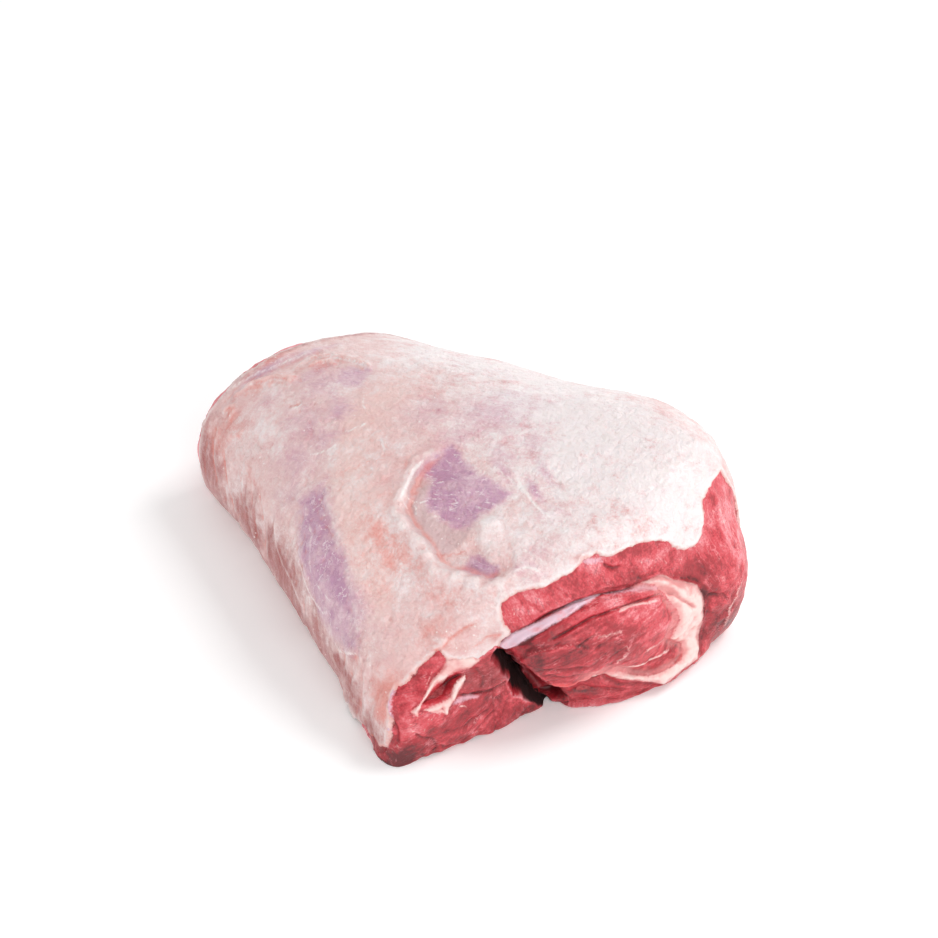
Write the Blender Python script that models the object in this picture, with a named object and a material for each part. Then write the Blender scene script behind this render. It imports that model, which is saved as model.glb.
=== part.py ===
"""A boned leg of lamb with the shank off, lying on its cut side, as one solid.

The meat is a tapered block lofted from sections along its length. The muscles that bulge from its cut
faces, and the roll of fat across its top, are lobes merged into the block. Where the bone came out, a
seam is cut between the muscles, and a shallow hollow lies in the fat above the front face.

Frame: +Z up, +Y from the cut front face to the rump end, +X across. The origin lies under the middle of
the meat, on the face that it rests on. Units are metres.
"""

import math
from collections import namedtuple

import bmesh
import bpy
from mathutils import Euler, Matrix, Vector

# The block: its two ends, the height of its widest line, and how far it is made past the rest face.
FRONT_Y = -0.093
REAR_Y = 0.1075
LENGTH = REAR_Y - FRONT_Y
WIDEST_HEIGHT = 0.022
PAST_REST_FACE = 0.011

# Sections along the length: the sides' places across, the tops of the left side, the middle and the right
# side, and the exponent that squares the section off.
Section = namedtuple("Section", "share left right left_top middle_top right_top squareness")
SECTIONS = (
    Section(0.00, -0.0870, 0.0730, 0.0370, 0.0720, 0.0755, 3.4),
    Section(0.15, -0.0900, 0.0895, 0.0495, 0.0790, 0.0955, 4.0),
    Section(0.35, -0.0910, 0.0915, 0.0680, 0.0845, 0.0920, 3.6),
    Section(0.55, -0.0905, 0.0805, 0.0735, 0.0820, 0.0725, 3.0),
    Section(0.75, -0.0905, 0.0620, 0.0715, 0.0780, 0.0590, 2.8),
    Section(0.90, -0.0925, 0.0435, 0.0645, 0.0720, 0.0490, 2.8),
    Section(1.00, -0.0935, 0.0345, 0.0580, 0.0670, 0.0440, 2.8),
)

# How each cut face is rounded over: the share of the length that the rounding takes up, and the
# exponents of the curve, outward and along the length.
FaceRounding = namedtuple("FaceRounding", "depth outward along")
FRONT_ROUNDING = FaceRounding(0.10, 5.0, 3.2)
REAR_ROUNDING = FaceRounding(0.05, 6.0, 4.0)

# The front face's left corner, the heel, is turned back by this much over this much of the length.
HEEL_TURN = 0.011
HEEL_TURN_FROM_X = 0.014
HEEL_TURN_REACH_Y = 0.110
HEEL_TURN_START_Y = 0.017

# Muscles and fat that bulge out of the block: squared-off balls, stretched and turned, in degrees.
Lobe = namedtuple("Lobe", "name centre radii turn squareness")
LOBES = (
    Lobe("rolled_muscle", (0.0105, -0.0850, 0.0315), (0.049, 0.022, 0.025), (0, 3, 4), 2.2),
    Lobe("lower_lip", (0.0215, -0.0800, 0.0055), (0.048, 0.0275, 0.013), (0, 0, 0), 2.2),
    Lobe("heel", (-0.0510, -0.0660, 0.0020), (0.0405, 0.0295, 0.034), (0, 0, 3), 4.0),
    Lobe("corner_bulge", (0.0630, -0.0660, 0.0275), (0.024, 0.033, 0.037), (0, 0, 0), 2.4),
    Lobe("fat_roll", (-0.0470, -0.0440, 0.0590), (0.017, 0.048, 0.0115), (11, -18, 13), 2.0),
)

# Hollows cut into the merged block.
HOLLOWS = (
    Lobe("bone_seam", (-0.0265, -0.1005, 0.0210), (0.0040, 0.0290, 0.0285), (0, -32, 0), 2.0),
    Lobe("fat_window", (-0.0240, -0.0260, 0.0830), (0.026, 0.032, 0.0045), (7, -12, -24), 2.0),
)

RINGS = 44
RING_POINTS = 72
FACE_RINGS_SHARE = 0.16
LOBE_SUBDIVISIONS = 4
MERGE_VOXEL = 0.0020
SMOOTHING_PASSES = 7
KEPT_FACES = 0.168
REST_CUTTER_SIDE = 1.0

LAMB_COLOUR = (0.80, 0.58, 0.54, 1.0)
LAMB_ROUGHNESS = 0.45


def clear_scene():
    for obj in list(bpy.data.objects):
        bpy.data.objects.remove(obj, do_unlink=True)


def section_at(share):
    """The section at this share of the length, on a smooth curve through the named ones."""
    last = len(SECTIONS) - 2
    i = next((k for k in range(last) if share <= SECTIONS[k + 1].share), last)
    before, a, b = SECTIONS[max(i - 1, 0)], SECTIONS[i], SECTIONS[i + 1]
    after = SECTIONS[min(i + 2, last + 1)]
    span = b.share - a.share
    t = (share - a.share) / span
    values = [share]
    for k in range(1, len(a)):
        slope_a = (b[k] - before[k]) / (b.share - before.share) * span
        slope_b = (after[k] - a[k]) / (after.share - a.share) * span
        value = (2 * t**3 - 3 * t**2 + 1) * a[k] + (t**3 - 2 * t**2 + t) * slope_a
        value += (3 * t**2 - 2 * t**3) * b[k] + (t**3 - t**2) * slope_b
        values.append(value)
    return Section(*values)


def signed_power(value, power):
    return math.copysign(abs(value) ** power, value)


def face_curve(rounding, u):
    """How wide a ring of a cut face is, and how deep, as u runs from the face's middle, 0, to its rim, 1."""
    angle = u * math.pi / 2
    width = math.sin(angle) ** (2 / rounding.outward)
    depth = rounding.depth * (1 - math.cos(angle) ** (2 / rounding.along))
    return width, depth


def ring_place(u):
    """How wide the ring at u is, and its share of the length; u runs from the front face to the rear one."""
    if u < FACE_RINGS_SHARE:
        return face_curve(FRONT_ROUNDING, u / FACE_RINGS_SHARE)
    if u > 1 - FACE_RINGS_SHARE:
        width, depth = face_curve(REAR_ROUNDING, (1 - u) / FACE_RINGS_SHARE)
        return width, 1 - depth
    along = (u - FACE_RINGS_SHARE) / (1 - 2 * FACE_RINGS_SHARE)
    return 1.0, FRONT_ROUNDING.depth + (1 - FRONT_ROUNDING.depth - REAR_ROUNDING.depth) * along


def ring(u):
    """The points of the block's ring at u: a squared-off oval with a sloping, crowned top."""
    width, share = ring_place(u)
    cut = section_at(share)
    middle, half = (cut.left + cut.right) / 2, (cut.right - cut.left) / 2
    lean = (cut.right_top - cut.left_top) / 2
    crown = (cut.right_top + cut.left_top) / 2 - cut.middle_top
    points = []
    for i in range(RING_POINTS):
        angle = 2 * math.pi * i / RING_POINTS
        across = signed_power(math.cos(angle), 2 / cut.squareness)
        upward = signed_power(math.sin(angle), 2 / cut.squareness)
        top = cut.middle_top + lean * across + crown * across**2
        reach = top - WIDEST_HEIGHT if upward > 0 else WIDEST_HEIGHT + PAST_REST_FACE
        x = middle + half * across * width
        z = WIDEST_HEIGHT + reach * upward * width
        points.append(turned_heel(Vector((x, FRONT_Y + LENGTH * share, z))))
    return points


def turned_heel(point):
    """The point, moved back if it is in the front face's left corner."""
    share = min(max((HEEL_TURN_START_Y - point.y) / HEEL_TURN_REACH_Y, 0.0), 1.0)
    across = max(0.0, (HEEL_TURN_FROM_X - point.x) / (HEEL_TURN_FROM_X - SECTIONS[0].left))
    point.y += HEEL_TURN * across**2 * share
    return point


def add_block(bm):
    """The lofted block, closed at both cut faces."""
    rings = [[bm.verts.new(point) for point in ring(k / RINGS)] for k in range(1, RINGS)]
    for a, b in zip(rings, rings[1:]):
        for i in range(RING_POINTS):
            j = (i + 1) % RING_POINTS
            bm.faces.new((a[i], a[j], b[j], b[i]))
    bm.faces.new(rings[0][::-1])
    bm.faces.new(rings[-1])


def add_lobe(bm, lobe):
    """A ball, squared off by its exponent, then stretched, turned and moved into place."""
    made = bmesh.ops.create_icosphere(bm, subdivisions=LOBE_SUBDIVISIONS, radius=1.0)["verts"]
    for vert in made:
        vert.co /= sum(abs(c) ** lobe.squareness for c in vert.co) ** (1 / lobe.squareness)
    turn = Euler([math.radians(a) for a in lobe.turn]).to_matrix().to_4x4()
    place = Matrix.Translation(lobe.centre) @ turn @ Matrix.Diagonal((*lobe.radii, 1.0))
    bmesh.ops.transform(bm, matrix=place, verts=made)


def new_object(name, bm):
    bmesh.ops.recalc_face_normals(bm, faces=bm.faces)
    mesh = bpy.data.meshes.new(name)
    bm.to_mesh(mesh)
    bm.free()
    mesh.shade_smooth()
    obj = bpy.data.objects.new(name, mesh)
    bpy.context.scene.collection.objects.link(obj)
    return obj


def cut(obj, name, bm):
    """Cuts the shape in bm out of the object, with a helper that isn't rendered."""
    helper = new_object(name + "_cutter", bm)
    helper.hide_render = True
    helper.display_type = "WIRE"
    difference = obj.modifiers.new(name, "BOOLEAN")
    difference.operation = "DIFFERENCE"
    difference.object = helper


def merge(obj, name):
    """Joins what overlaps into one even skin."""
    remesh = obj.modifiers.new(name, "REMESH")
    remesh.mode = "VOXEL"
    remesh.voxel_size = MERGE_VOXEL
    remesh.use_smooth_shade = True


def lamb_material():
    material = bpy.data.materials.new("lamb")
    material.use_nodes = True
    shader = material.node_tree.nodes["Principled BSDF"]
    shader.inputs["Base Color"].default_value = LAMB_COLOUR
    shader.inputs["Roughness"].default_value = LAMB_ROUGHNESS
    shader.inputs["Metallic"].default_value = 0.0
    return material


def leg_of_lamb():
    bm = bmesh.new()
    add_block(bm)
    for lobe in LOBES:
        add_lobe(bm, lobe)
    obj = new_object("leg_of_lamb", bm)
    obj.data.materials.append(lamb_material())
    merge(obj, "merge_lobes")
    for hollow in HOLLOWS:
        bm = bmesh.new()
        add_lobe(bm, hollow)
        cut(obj, hollow.name, bm)
    merge(obj, "even_skin")
    soften = obj.modifiers.new("soften", "SMOOTH")
    soften.factor = 0.5
    soften.iterations = SMOOTHING_PASSES
    thin = obj.modifiers.new("thin", "DECIMATE")
    thin.ratio = KEPT_FACES
    bm = bmesh.new()
    below = Matrix.Translation((0, 0, -REST_CUTTER_SIDE / 2))
    bmesh.ops.create_cube(bm, size=REST_CUTTER_SIDE, matrix=below)
    cut(obj, "rest_face", bm)
    return obj


clear_scene()
leg_of_lamb()
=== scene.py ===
"""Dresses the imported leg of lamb: a fat-covered joint with a cut face of rolled muscle in front.

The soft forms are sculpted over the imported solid, in millimetres, by outlines drawn on its surface.
"""

import itertools
import logging
import math
from dataclasses import dataclass, field
from enum import Enum
from typing import Any

import bmesh
import bpy
import numpy as np
from mathutils import Matrix, Vector


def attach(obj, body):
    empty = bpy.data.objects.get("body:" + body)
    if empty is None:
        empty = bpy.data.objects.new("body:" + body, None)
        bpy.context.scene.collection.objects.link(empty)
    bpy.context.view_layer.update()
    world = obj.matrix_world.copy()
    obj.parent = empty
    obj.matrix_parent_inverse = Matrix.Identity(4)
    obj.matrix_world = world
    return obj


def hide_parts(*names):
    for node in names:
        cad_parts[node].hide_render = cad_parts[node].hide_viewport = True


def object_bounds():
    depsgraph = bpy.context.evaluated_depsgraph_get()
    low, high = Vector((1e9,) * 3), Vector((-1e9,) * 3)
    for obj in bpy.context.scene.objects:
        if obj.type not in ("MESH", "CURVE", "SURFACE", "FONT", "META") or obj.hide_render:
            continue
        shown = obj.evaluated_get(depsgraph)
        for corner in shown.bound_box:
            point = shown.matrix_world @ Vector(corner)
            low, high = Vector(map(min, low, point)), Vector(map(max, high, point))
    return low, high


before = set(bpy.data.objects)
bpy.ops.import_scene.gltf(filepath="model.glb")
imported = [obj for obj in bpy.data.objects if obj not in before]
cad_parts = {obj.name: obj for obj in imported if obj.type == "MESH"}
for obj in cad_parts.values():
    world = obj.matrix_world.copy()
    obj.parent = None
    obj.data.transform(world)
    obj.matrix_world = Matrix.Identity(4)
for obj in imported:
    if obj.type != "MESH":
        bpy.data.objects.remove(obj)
CAD_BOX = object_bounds()

Point = tuple[float, float, float]
Line = tuple[Point, ...]
Colour = tuple[float, float, float]

LOG = logging.getLogger("leg_of_lamb")
NODE = "leg_of_lamb"
BODY = "root"
MM = 0.001
FAR = 60.0  # mm, the depth given to points that an outline doesn't reach


class Chart(Enum):
    """The way an outline is looked at when it is laid on the surface."""

    TOP = (0.0, 0.0, 1.0)
    FRONT = (-0.358, -0.677, 0.643)
    WALL = (-0.93, -0.12, 0.34)
    REAR = (0.0, 1.0, 0.0)

    def axes(self) -> np.ndarray:
        """The two flat axes and the direction itself, as rows."""
        out = np.array(self.value) / np.linalg.norm(self.value)
        up = np.array((0.0, 1.0, 0.0) if self is Chart.TOP else (0.0, 0.0, 1.0))
        right = np.cross(up, out)
        right /= np.linalg.norm(right)
        return np.stack((right, np.cross(out, right), out))


class Finish(Enum):
    """The record's slots."""

    FAT = "fat_cap"
    MEAT = "red_meat"
    SILVER = "silverskin"


def ease(low: float, high: float, values: np.ndarray) -> np.ndarray:
    """A smooth step from 0 at low to 1 at high."""
    t = np.clip((values - low) / (high - low), 0.0, 1.0)
    return t * t * (3.0 - 2.0 * t)


def hill(values: np.ndarray, width: float) -> np.ndarray:
    """A bell of height 1 about zero."""
    return np.exp(-((values / width) ** 2))


def grain_noise(points: np.ndarray, size: float, seed: int = 0) -> np.ndarray:
    """Gradient noise from about -1 to 1.

    Args:
        points: n by 3 positions.
        size: the distance between its lumps, in the same unit.
        seed: another number gives another pattern.

    Returns:
        One value for each point.
    """
    place = points / size + 37.7 * seed + 11.3
    cell = np.floor(place).astype(np.int64)
    part = place - cell
    fade = part * part * part * (part * (part * 6.0 - 15.0) + 10.0)
    total = np.zeros(len(points))
    for corner in itertools.product((0, 1), repeat=3):
        at = cell + np.array(corner)
        mixed = at[:, 0] * 73856093 ^ at[:, 1] * 19349663 ^ at[:, 2] * 83492791
        mixed = (mixed ^ (mixed >> 13)) * 1274126177 & 0x7FFFFFFF
        turn = (mixed & 1023) / 1023.0 * math.tau
        rise = ((mixed >> 10) & 1023) / 511.5 - 1.0
        flat = np.sqrt(np.maximum(0.0, 1.0 - rise * rise))
        slope = np.stack((flat * np.cos(turn), flat * np.sin(turn), rise), axis=1)
        share = np.prod(np.where(np.array(corner) == 1, fade, 1.0 - fade), axis=1)
        total += share * np.sum(slope * (part - np.array(corner)), axis=1)
    return total * 1.7


def rumple(points: np.ndarray, size: float, seed: int = 0, layers: int = 3) -> np.ndarray:
    """Layered noise: each layer is half as large and half as strong."""
    parts = [grain_noise(points, size / 2**i, seed + 7 * i) / 2**i for i in range(layers)]
    return np.sum(parts, axis=0)


@dataclass(frozen=True)
class Outline:
    """A line or a closed shape on the surface, as points in millimetres.

    Args:
        points: its corners in order.
        chart: the way it is looked at.
        closed: whether it closes on itself.
        reach: how far from it a depth is worked out, in millimetres.
        facing: how far towards the chart the ground must face, from -1 to 1.
    """

    points: Line
    chart: Chart = Chart.FRONT
    closed: bool = True
    reach: float = 14.0
    facing: float = -0.15

    def measure(self, surface: "Surface") -> tuple[np.ndarray, np.ndarray]:
        """Lays the line on the surface.

        Args:
            surface: the piece whose rest points are measured.

        Returns:
            The depth of each point in millimetres, positive inside or to the left of an open line and
            -FAR out of reach, and a weight that fades out towards the ends of an open line.
        """
        axes = self.chart.axes()
        flat = surface.rest @ axes[:2].T
        line = np.array(self.points) @ axes[:2].T
        low, high = line.min(axis=0) - self.reach, line.max(axis=0) + self.reach
        near = np.all((flat > low) & (flat < high), axis=1)
        near &= surface.rest_normals @ axes[2] > self.facing
        spots = flat[near]
        ends = np.roll(line, -1, axis=0)
        count = len(line) if self.closed else len(line) - 1
        gap = np.full(len(spots), 1e9)
        side, place = np.zeros(len(spots)), np.zeros(len(spots))
        inside = np.zeros(len(spots), bool)
        for index, (start, end) in enumerate(zip(line[:count], ends[:count])):
            run = end - start
            length = float(run @ run) or 1e-9
            away = spots - start
            along = np.clip(away @ run / length, 0.0, 1.0)
            distance = np.linalg.norm(away - along[:, None] * run, axis=1)
            turn = np.sign(run[0] * away[:, 1] - run[1] * away[:, 0])
            closer = distance < gap
            gap = np.where(closer, distance, gap)
            side = np.where(closer, turn, side)
            place = np.where(closer, (index + along) / count, place)
            if self.closed:
                crosses = (start[1] > spots[:, 1]) != (end[1] > spots[:, 1])
                rise = end[1] - start[1] or 1e-9
                at = start[0] + run[0] * (spots[:, 1] - start[1]) / rise
                inside ^= crosses & (spots[:, 0] < at)
        sign = np.where(inside, 1.0, -1.0) if self.closed else side
        result, fade = np.full(len(surface.rest), -FAR), np.zeros(len(surface.rest))
        result[near] = np.clip(gap, 0.0, FAR) * sign
        fade[near] = 1.0 if self.closed else ease(0.0, 0.18, place) * ease(1.0, 0.82, place)
        return result, fade

    def depth(self, surface: "Surface") -> np.ndarray:
        """The depth of each point inside the outline."""
        return self.measure(surface)[0]

    def gap(self, surface: "Surface") -> np.ndarray:
        """Distance from the line, whichever side a point is on."""
        return np.abs(self.depth(surface))


@dataclass(frozen=True)
class Fold:
    """A ridge or a crease on the surface that fades out towards its ends.

    Args:
        points: its course.
        chart: the way it is looked at.
        height: how far it rises, or sinks where negative, in millimetres.
        width: its half width, in millimetres.
        step: how far the ground on its right lies below its left, in millimetres.
        white: how pale it is.
        warm: how flushed it is.
    """

    points: Line
    chart: Chart = Chart.FRONT
    height: float = 0.0
    width: float = 1.0
    step: float = 0.0
    white: float = 0.0
    warm: float = 0.0

    def shape(self, surface: "Surface") -> tuple[np.ndarray, np.ndarray]:
        """Its height and its presence from 0 to 1 at each point."""
        depth, fade = Outline(self.points, self.chart, False, 4.0 * self.width + 8.0).measure(surface)
        bent = depth + 0.45 * self.width * grain_noise(surface.rest, 6.0, 71)
        there = fade * hill(bent, self.width)
        stepped = self.step * (ease(-self.width, self.width, bent) - 0.5) * hill(depth, 6.0) * fade
        return self.height * there + np.where(depth > -FAR, stepped, 0.0), there


@dataclass(frozen=True)
class Patch:
    """A closed patch with ragged or soft borders.

    Args:
        points: its corners in order.
        chart: the way it is looked at.
        strength: how strongly its colour shows.
        soft: how wide its border is, in millimetres.
    """

    points: Line
    chart: Chart
    strength: float
    soft: float = 1.5

    def depth(self, surface: "Surface") -> np.ndarray:
        """The depth of each point inside its ragged border."""
        ragged = 0.8 * grain_noise(surface.rest, 4.0, 61) + 0.4 * grain_noise(surface.rest, 1.8, 62)
        return Outline(self.points, self.chart).depth(surface) + (0.6 + 0.3 * self.soft) * ragged

    def amount(self, surface: "Surface") -> np.ndarray:
        """How strongly it shows at each point."""
        return self.strength * ease(-self.soft, self.soft, self.depth(surface))


@dataclass(frozen=True)
class Haze:
    """A soft-edged round patch, used for thin fat with the darker film showing through, for blushes, lumps and
    swellings, and for painted light and painted shade.
    """

    centre: Point
    radii: Point
    strength: float

    def amount(self, surface: "Surface") -> np.ndarray:
        """How strongly it shows at each point."""
        away = (surface.rest - np.array(self.centre)) / np.array(self.radii)
        return self.strength * np.exp(-np.sum(away * away, axis=1))


class Surface:
    """A closed piece while it is sculpted, with its points in millimetres."""

    def __init__(self, mesh: bpy.types.Mesh) -> None:
        """Reads the mesh and keeps its first shape for the outlines."""
        self.mesh = mesh
        count = len(mesh.vertices)
        flat = np.empty(count * 3, np.float32)
        mesh.vertices.foreach_get("co", flat)
        self.points = flat.reshape(-1, 3).astype(float) / MM
        ends = np.empty(len(mesh.edges) * 2, np.int32)
        mesh.edges.foreach_get("vertices", ends)
        self.ends = ends.reshape(-1, 2)
        self.degree = np.bincount(self.ends.ravel(), minlength=count).astype(float)
        self.rest = self.points.copy()
        self.rest_normals = self.normals()

    def normals(self) -> np.ndarray:
        """The point normals of the present shape."""
        self.write()
        flat = np.empty(len(self.points) * 3, np.float32)
        self.mesh.vertex_normals.foreach_get("vector", flat)
        return flat.reshape(-1, 3).astype(float)

    def write(self) -> None:
        """Puts the points back in the mesh, in metres."""
        self.mesh.vertices.foreach_set("co", (self.points * MM).astype(np.float32).ravel())
        self.mesh.update()

    def averaged(self, values: np.ndarray, rounds: int, share: float = 0.6) -> np.ndarray:
        """Spreads values over each point's neighbours.

        Args:
            values: one value or one row for each point.
            rounds: how many times they are spread.
            share: how much of the neighbours' mean is taken each time.

        Returns:
            The spread values.
        """
        left, right = self.ends.T
        rows = values.reshape(len(values), -1).copy()
        size = len(values)
        for _ in range(rounds):
            for column in range(rows.shape[1]):
                old = rows[:, column]
                total = np.bincount(left, old[right], size) + np.bincount(right, old[left], size)
                rows[:, column] = old + share * (total / self.degree - old)
        return rows.reshape(values.shape)

    def relax(self, rounds: int, share: float = 0.6) -> None:
        """Smooths the shape itself."""
        self.points = self.averaged(self.points, rounds, share)

    def settle(self) -> None:
        """Takes the present shape as the one that outlines are laid on."""
        self.rest = self.points.copy()
        self.rest_normals = self.averaged(self.normals(), 12)
        self.rest_normals /= np.linalg.norm(self.rest_normals, axis=1, keepdims=True)

    def raise_by(self, amount: np.ndarray) -> None:
        """Moves each point out along its rest normal, by millimetres."""
        self.points += self.rest_normals * amount[:, None]

    def keep(self, name: str, values: np.ndarray) -> None:
        """Stores a value or a vector for each point, for the materials to read."""
        kind, key = ("FLOAT", "value") if values.ndim == 1 else ("FLOAT_VECTOR", "vector")
        made = self.mesh.attributes.new(name, kind, "POINT")
        made.data.foreach_set(key, values.astype(np.float32).ravel())

    def cavity(self, rounds: int) -> np.ndarray:
        """How far each point lies below its surroundings, in millimetres, negative on a ridge."""
        smooth = self.averaged(self.points, rounds)
        return np.sum((smooth - self.points) * self.normals(), axis=1)


# ---------------------------------------------------------------- outlines on the surface

HEM = Outline(
    (
        (-94, -78, -12), (-92, -82, 3), (-90, -84, 5), (-88, -87, 9), (-87, -88, 15), (-86, -87, 23),
        (-86, -86, 25), (-84, -83, 29), (-81, -82, 32), (-76, -82, 34), (-70, -80, 38), (-65, -81, 42),
        (-63, -81, 44), (-60, -84, 40), (-48, -88, 37), (-45, -88, 38), (-39, -89, 42), (-34, -90, 48),
        (-36, -87, 54), (-36, -85, 59), (-35, -84, 60), (-29, -84, 63), (-23, -86, 64), (-18, -87, 64),
        (-12, -88, 65), (-7, -88, 67), (-5, -88, 68), (-1, -87, 69), (0, -86, 71), (6, -87, 71),
        (9, -88, 70), (14, -89, 69), (19, -89, 70), (24, -89, 71), (29, -89, 70), (34, -89, 69),
        (38, -90, 67), (42, -90, 62), (46, -91, 59), (51, -90, 58), (54, -89, 59), (57, -88, 62),
        (59, -86, 67), (60, -83, 74), (63, -80, 76), (67, -78, 76), (68, -76, 77), (73, -74, 77),
        (96, -60, 80), (130, -60, 30), (60, -150, -60), (-60, -120, -80),
    ),
    reach=70.0,
)  # fmt: skip
CREASE = Outline(
    (
        (54, -98, 33), (54, -97, 37), (51, -95, 41), (46, -94, 44), (37, -94, 50), (31, -93, 53),
        (25, -94, 54), (18, -94, 55), (8, -93, 57), (0, -93, 56), (-7, -93, 56), (-17, -92, 54),
        (-26, -92, 51), (-34, -90, 48), (-39, -89, 43),
    ),
    closed=False,
)  # fmt: skip
SILVER_STRIP = Outline(
    (
        (-39, -89, 43), (-34, -90, 48), (-26, -92, 51), (-16, -93, 54), (-7, -93, 56), (-1, -93, 56),
        (5, -94, 56), (-3, -95, 55), (-11, -96, 53), (-20, -96, 51), (-27, -95, 48), (-33, -93, 44),
        (-37, -90, 40),
    )
)  # fmt: skip
MEMBRANE = Outline(
    ((6, -94, 56), (18, -95, 55), (26, -95, 54), (33, -96, 50), (30, -97, 49), (18, -97, 53), (8, -95, 55))
)
FOLD = Outline(
    (
        (33, -97, 48), (28, -98, 49), (19, -99, 51), (10, -99, 51), (1, -100, 51), (-4, -100, 51),
        (-12, -101, 49), (-17, -101, 47), (-25, -100, 45), (-32, -98, 41),
    ),
    closed=False,
)  # fmt: skip
ROLL = Outline(
    (
        (-39, -89, 43), (-34, -90, 48), (-26, -92, 51), (-17, -92, 54), (-7, -93, 56), (0, -93, 56),
        (8, -93, 57), (18, -94, 55), (25, -94, 54), (30, -95, 51), (33, -97, 48), (35, -100, 44),
        (38, -101, 39), (39, -102, 33), (37, -102, 28), (35, -102, 24), (43, -98, 15), (43, -101, 13),
        (40, -104, 11), (35, -105, 10), (29, -106, 10), (23, -106, 11), (16, -104, 13), (8, -105, 20),
        (2, -106, 22), (-9, -106, 24), (-16, -104, 23), (-20, -102, 22), (-17, -84, 4), (-19, -80, 8),
        (-20, -78, 11), (-23, -76, 15),
    )
)  # fmt: skip
RIM = Outline(
    (
        (24, -94, 54), (35, -93, 53), (39, -94, 49), (46, -94, 45), (51, -95, 42), (53, -97, 37),
        (54, -98, 32), (54, -98, 25), (53, -97, 14), (51, -101, 10), (49, -103, 7), (45, -104, 6),
        (37, -106, 6), (33, -106, 4), (30, -107, 4), (24, -107, 8), (17, -105, 11), (12, -104, 13),
        (7, -103, 15), (3, -105, 19), (-9, -105, 22.5), (-9, -106, 24.5), (2, -106, 22.5), (8, -105, 20),
        (16, -104, 13.5), (23, -106, 11), (29, -106, 10.5), (35, -105, 10.5), (40, -104, 11), (43, -101, 13),
        (43, -98, 15), (35, -102, 24), (37, -102, 28), (39, -102, 33), (38, -101, 39), (35, -100, 44),
        (33, -97, 48), (30, -95, 51),
    )
)  # fmt: skip
RIM_FOLD = Outline(
    ((33, -97, 48), (36, -99, 45), (40, -100, 41), (45, -99, 36)), closed=False, reach=6.0
)
LOWER = Outline(
    (
        (-20, -102, 21), (-16, -104, 23), (-9, -105, 23), (4, -104, 18), (11, -104, 12), (19, -106, 10),
        (26, -107, 6), (30, -106, 3), (36, -108, -6), (0, -112, -12), (-14, -100, -6), (-12, -95, 0),
        (-17, -84, 4),
    )
)  # fmt: skip
GAP = Outline(
    (
        (-40, -89, 41), (-26, -75, 19), (-23, -76, 14), (-21, -78, 11), (-22, -81, 9), (-20, -85, 6),
        (-17, -89, 3), (-13, -93, -1), (-20, -94, 3), (-28, -93, 11), (-34, -94, 16), (-36, -94, 21),
        (-35, -93, 25), (-34, -88, 22), (-37, -88, 27), (-42, -89, 36),
    ),
    facing=-2.0,
)  # fmt: skip
GAP_CORE = Outline(
    (
        (-36, -94, 23), (-34, -93, 24), (-25, -86, 12), (-22, -88, 7), (-16, -91, 1), (-21, -93, 5),
        (-29, -93, 12), (-34, -94, 18),
    ),
    facing=-2.0,
)  # fmt: skip
LOWER_LIP = Outline(
    ((10, -105, 17), (2, -106, 20), (-9, -105, 22), (-16, -104, 21), (-20, -102, 20)), closed=False, reach=8.0
)
HEEL_FLAP = Outline(
    (
        (-88, -82, 22), (-88, -82, 23), (-86, -81, 28), (-82, -79, 32), (-82, -82, 31), (-84, -83, 29),
        (-86, -86, 25), (-86, -87, 23), (-87, -88, 17), (-87, -88, 15), (-88, -87, 9), (-90, -83, 5),
        (-90, -82, 10),
    )
)  # fmt: skip
HEEL_STRIPS = (
    Outline(
        (
            (-60, -84, 40), (-62, -85, 37), (-65, -85, 35), (-68, -86, 34), (-71, -88, 32), (-74, -90, 30),
            (-76, -91, 29), (-79, -91, 27), (-80, -91, 26), (-79, -92, 25), (-78, -93, 24), (-77, -92, 26),
            (-75, -91, 28), (-72, -90, 30), (-69, -88, 31.5), (-66, -87, 33), (-63, -88, 33), (-61, -87, 34),
            (-58, -87, 35), (-55, -87, 35), (-52, -88, 35), (-47, -88, 38), (-50, -86, 41),
        ),
        reach=8.0,
    ),
    Outline(
        (
            (-54, -88, 33), (-55, -90, 32), (-57, -91, 30), (-59, -92, 29), (-61, -93, 26), (-64, -94, 24),
            (-66, -95, 22), (-67, -95, 23), (-67, -94, 25), (-69, -94, 24), (-72, -94, 25), (-75, -92, 26),
            (-72, -93, 27), (-69, -93, 27), (-66, -93, 27), (-63, -93, 28), (-62, -92, 29), (-60, -90, 31),
            (-58, -89, 32), (-55, -89, 33.5),
        ),
        reach=8.0,
    ),
)  # fmt: skip
HEEL_HOLLOW = Outline(
    (
        (-62, -87, 34), (-57, -87, 34), (-54, -88, 33), (-59, -89, 32), (-61, -91, 30), (-63, -93, 28),
        (-68, -93, 27), (-73, -92, 27), (-76, -91, 28), (-72, -90, 31), (-68, -88, 32), (-65, -87, 33),
    ),
    reach=8.0,
)  # fmt: skip
SIDE_BUMP = Outline(
    ((56, -98, 28), (57, -98, 33), (61, -98, 35), (66, -99, 31), (68, -99, 26), (62, -99, 24)), reach=10.0
)
WINDOW = Outline(
    (
        (-19, -9, 81), (-26, -9, 79), (-33, -10, 78), (-39, -14, 77), (-46, -21, 76), (-50, -25, 74),
        (-52, -28, 73), (-51, -40, 71), (-50, -47, 70), (-50, -57, 66), (-47, -62, 65), (-43, -66, 65),
        (-40, -70, 65), (-37, -74, 65), (-32, -77, 67), (-25, -76, 69), (-21, -70, 72), (-12, -60, 76),
        (-9, -50, 79), (-11, -35, 81), (-14, -19, 81),
    ),
    Chart.TOP,
)  # fmt: skip
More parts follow.
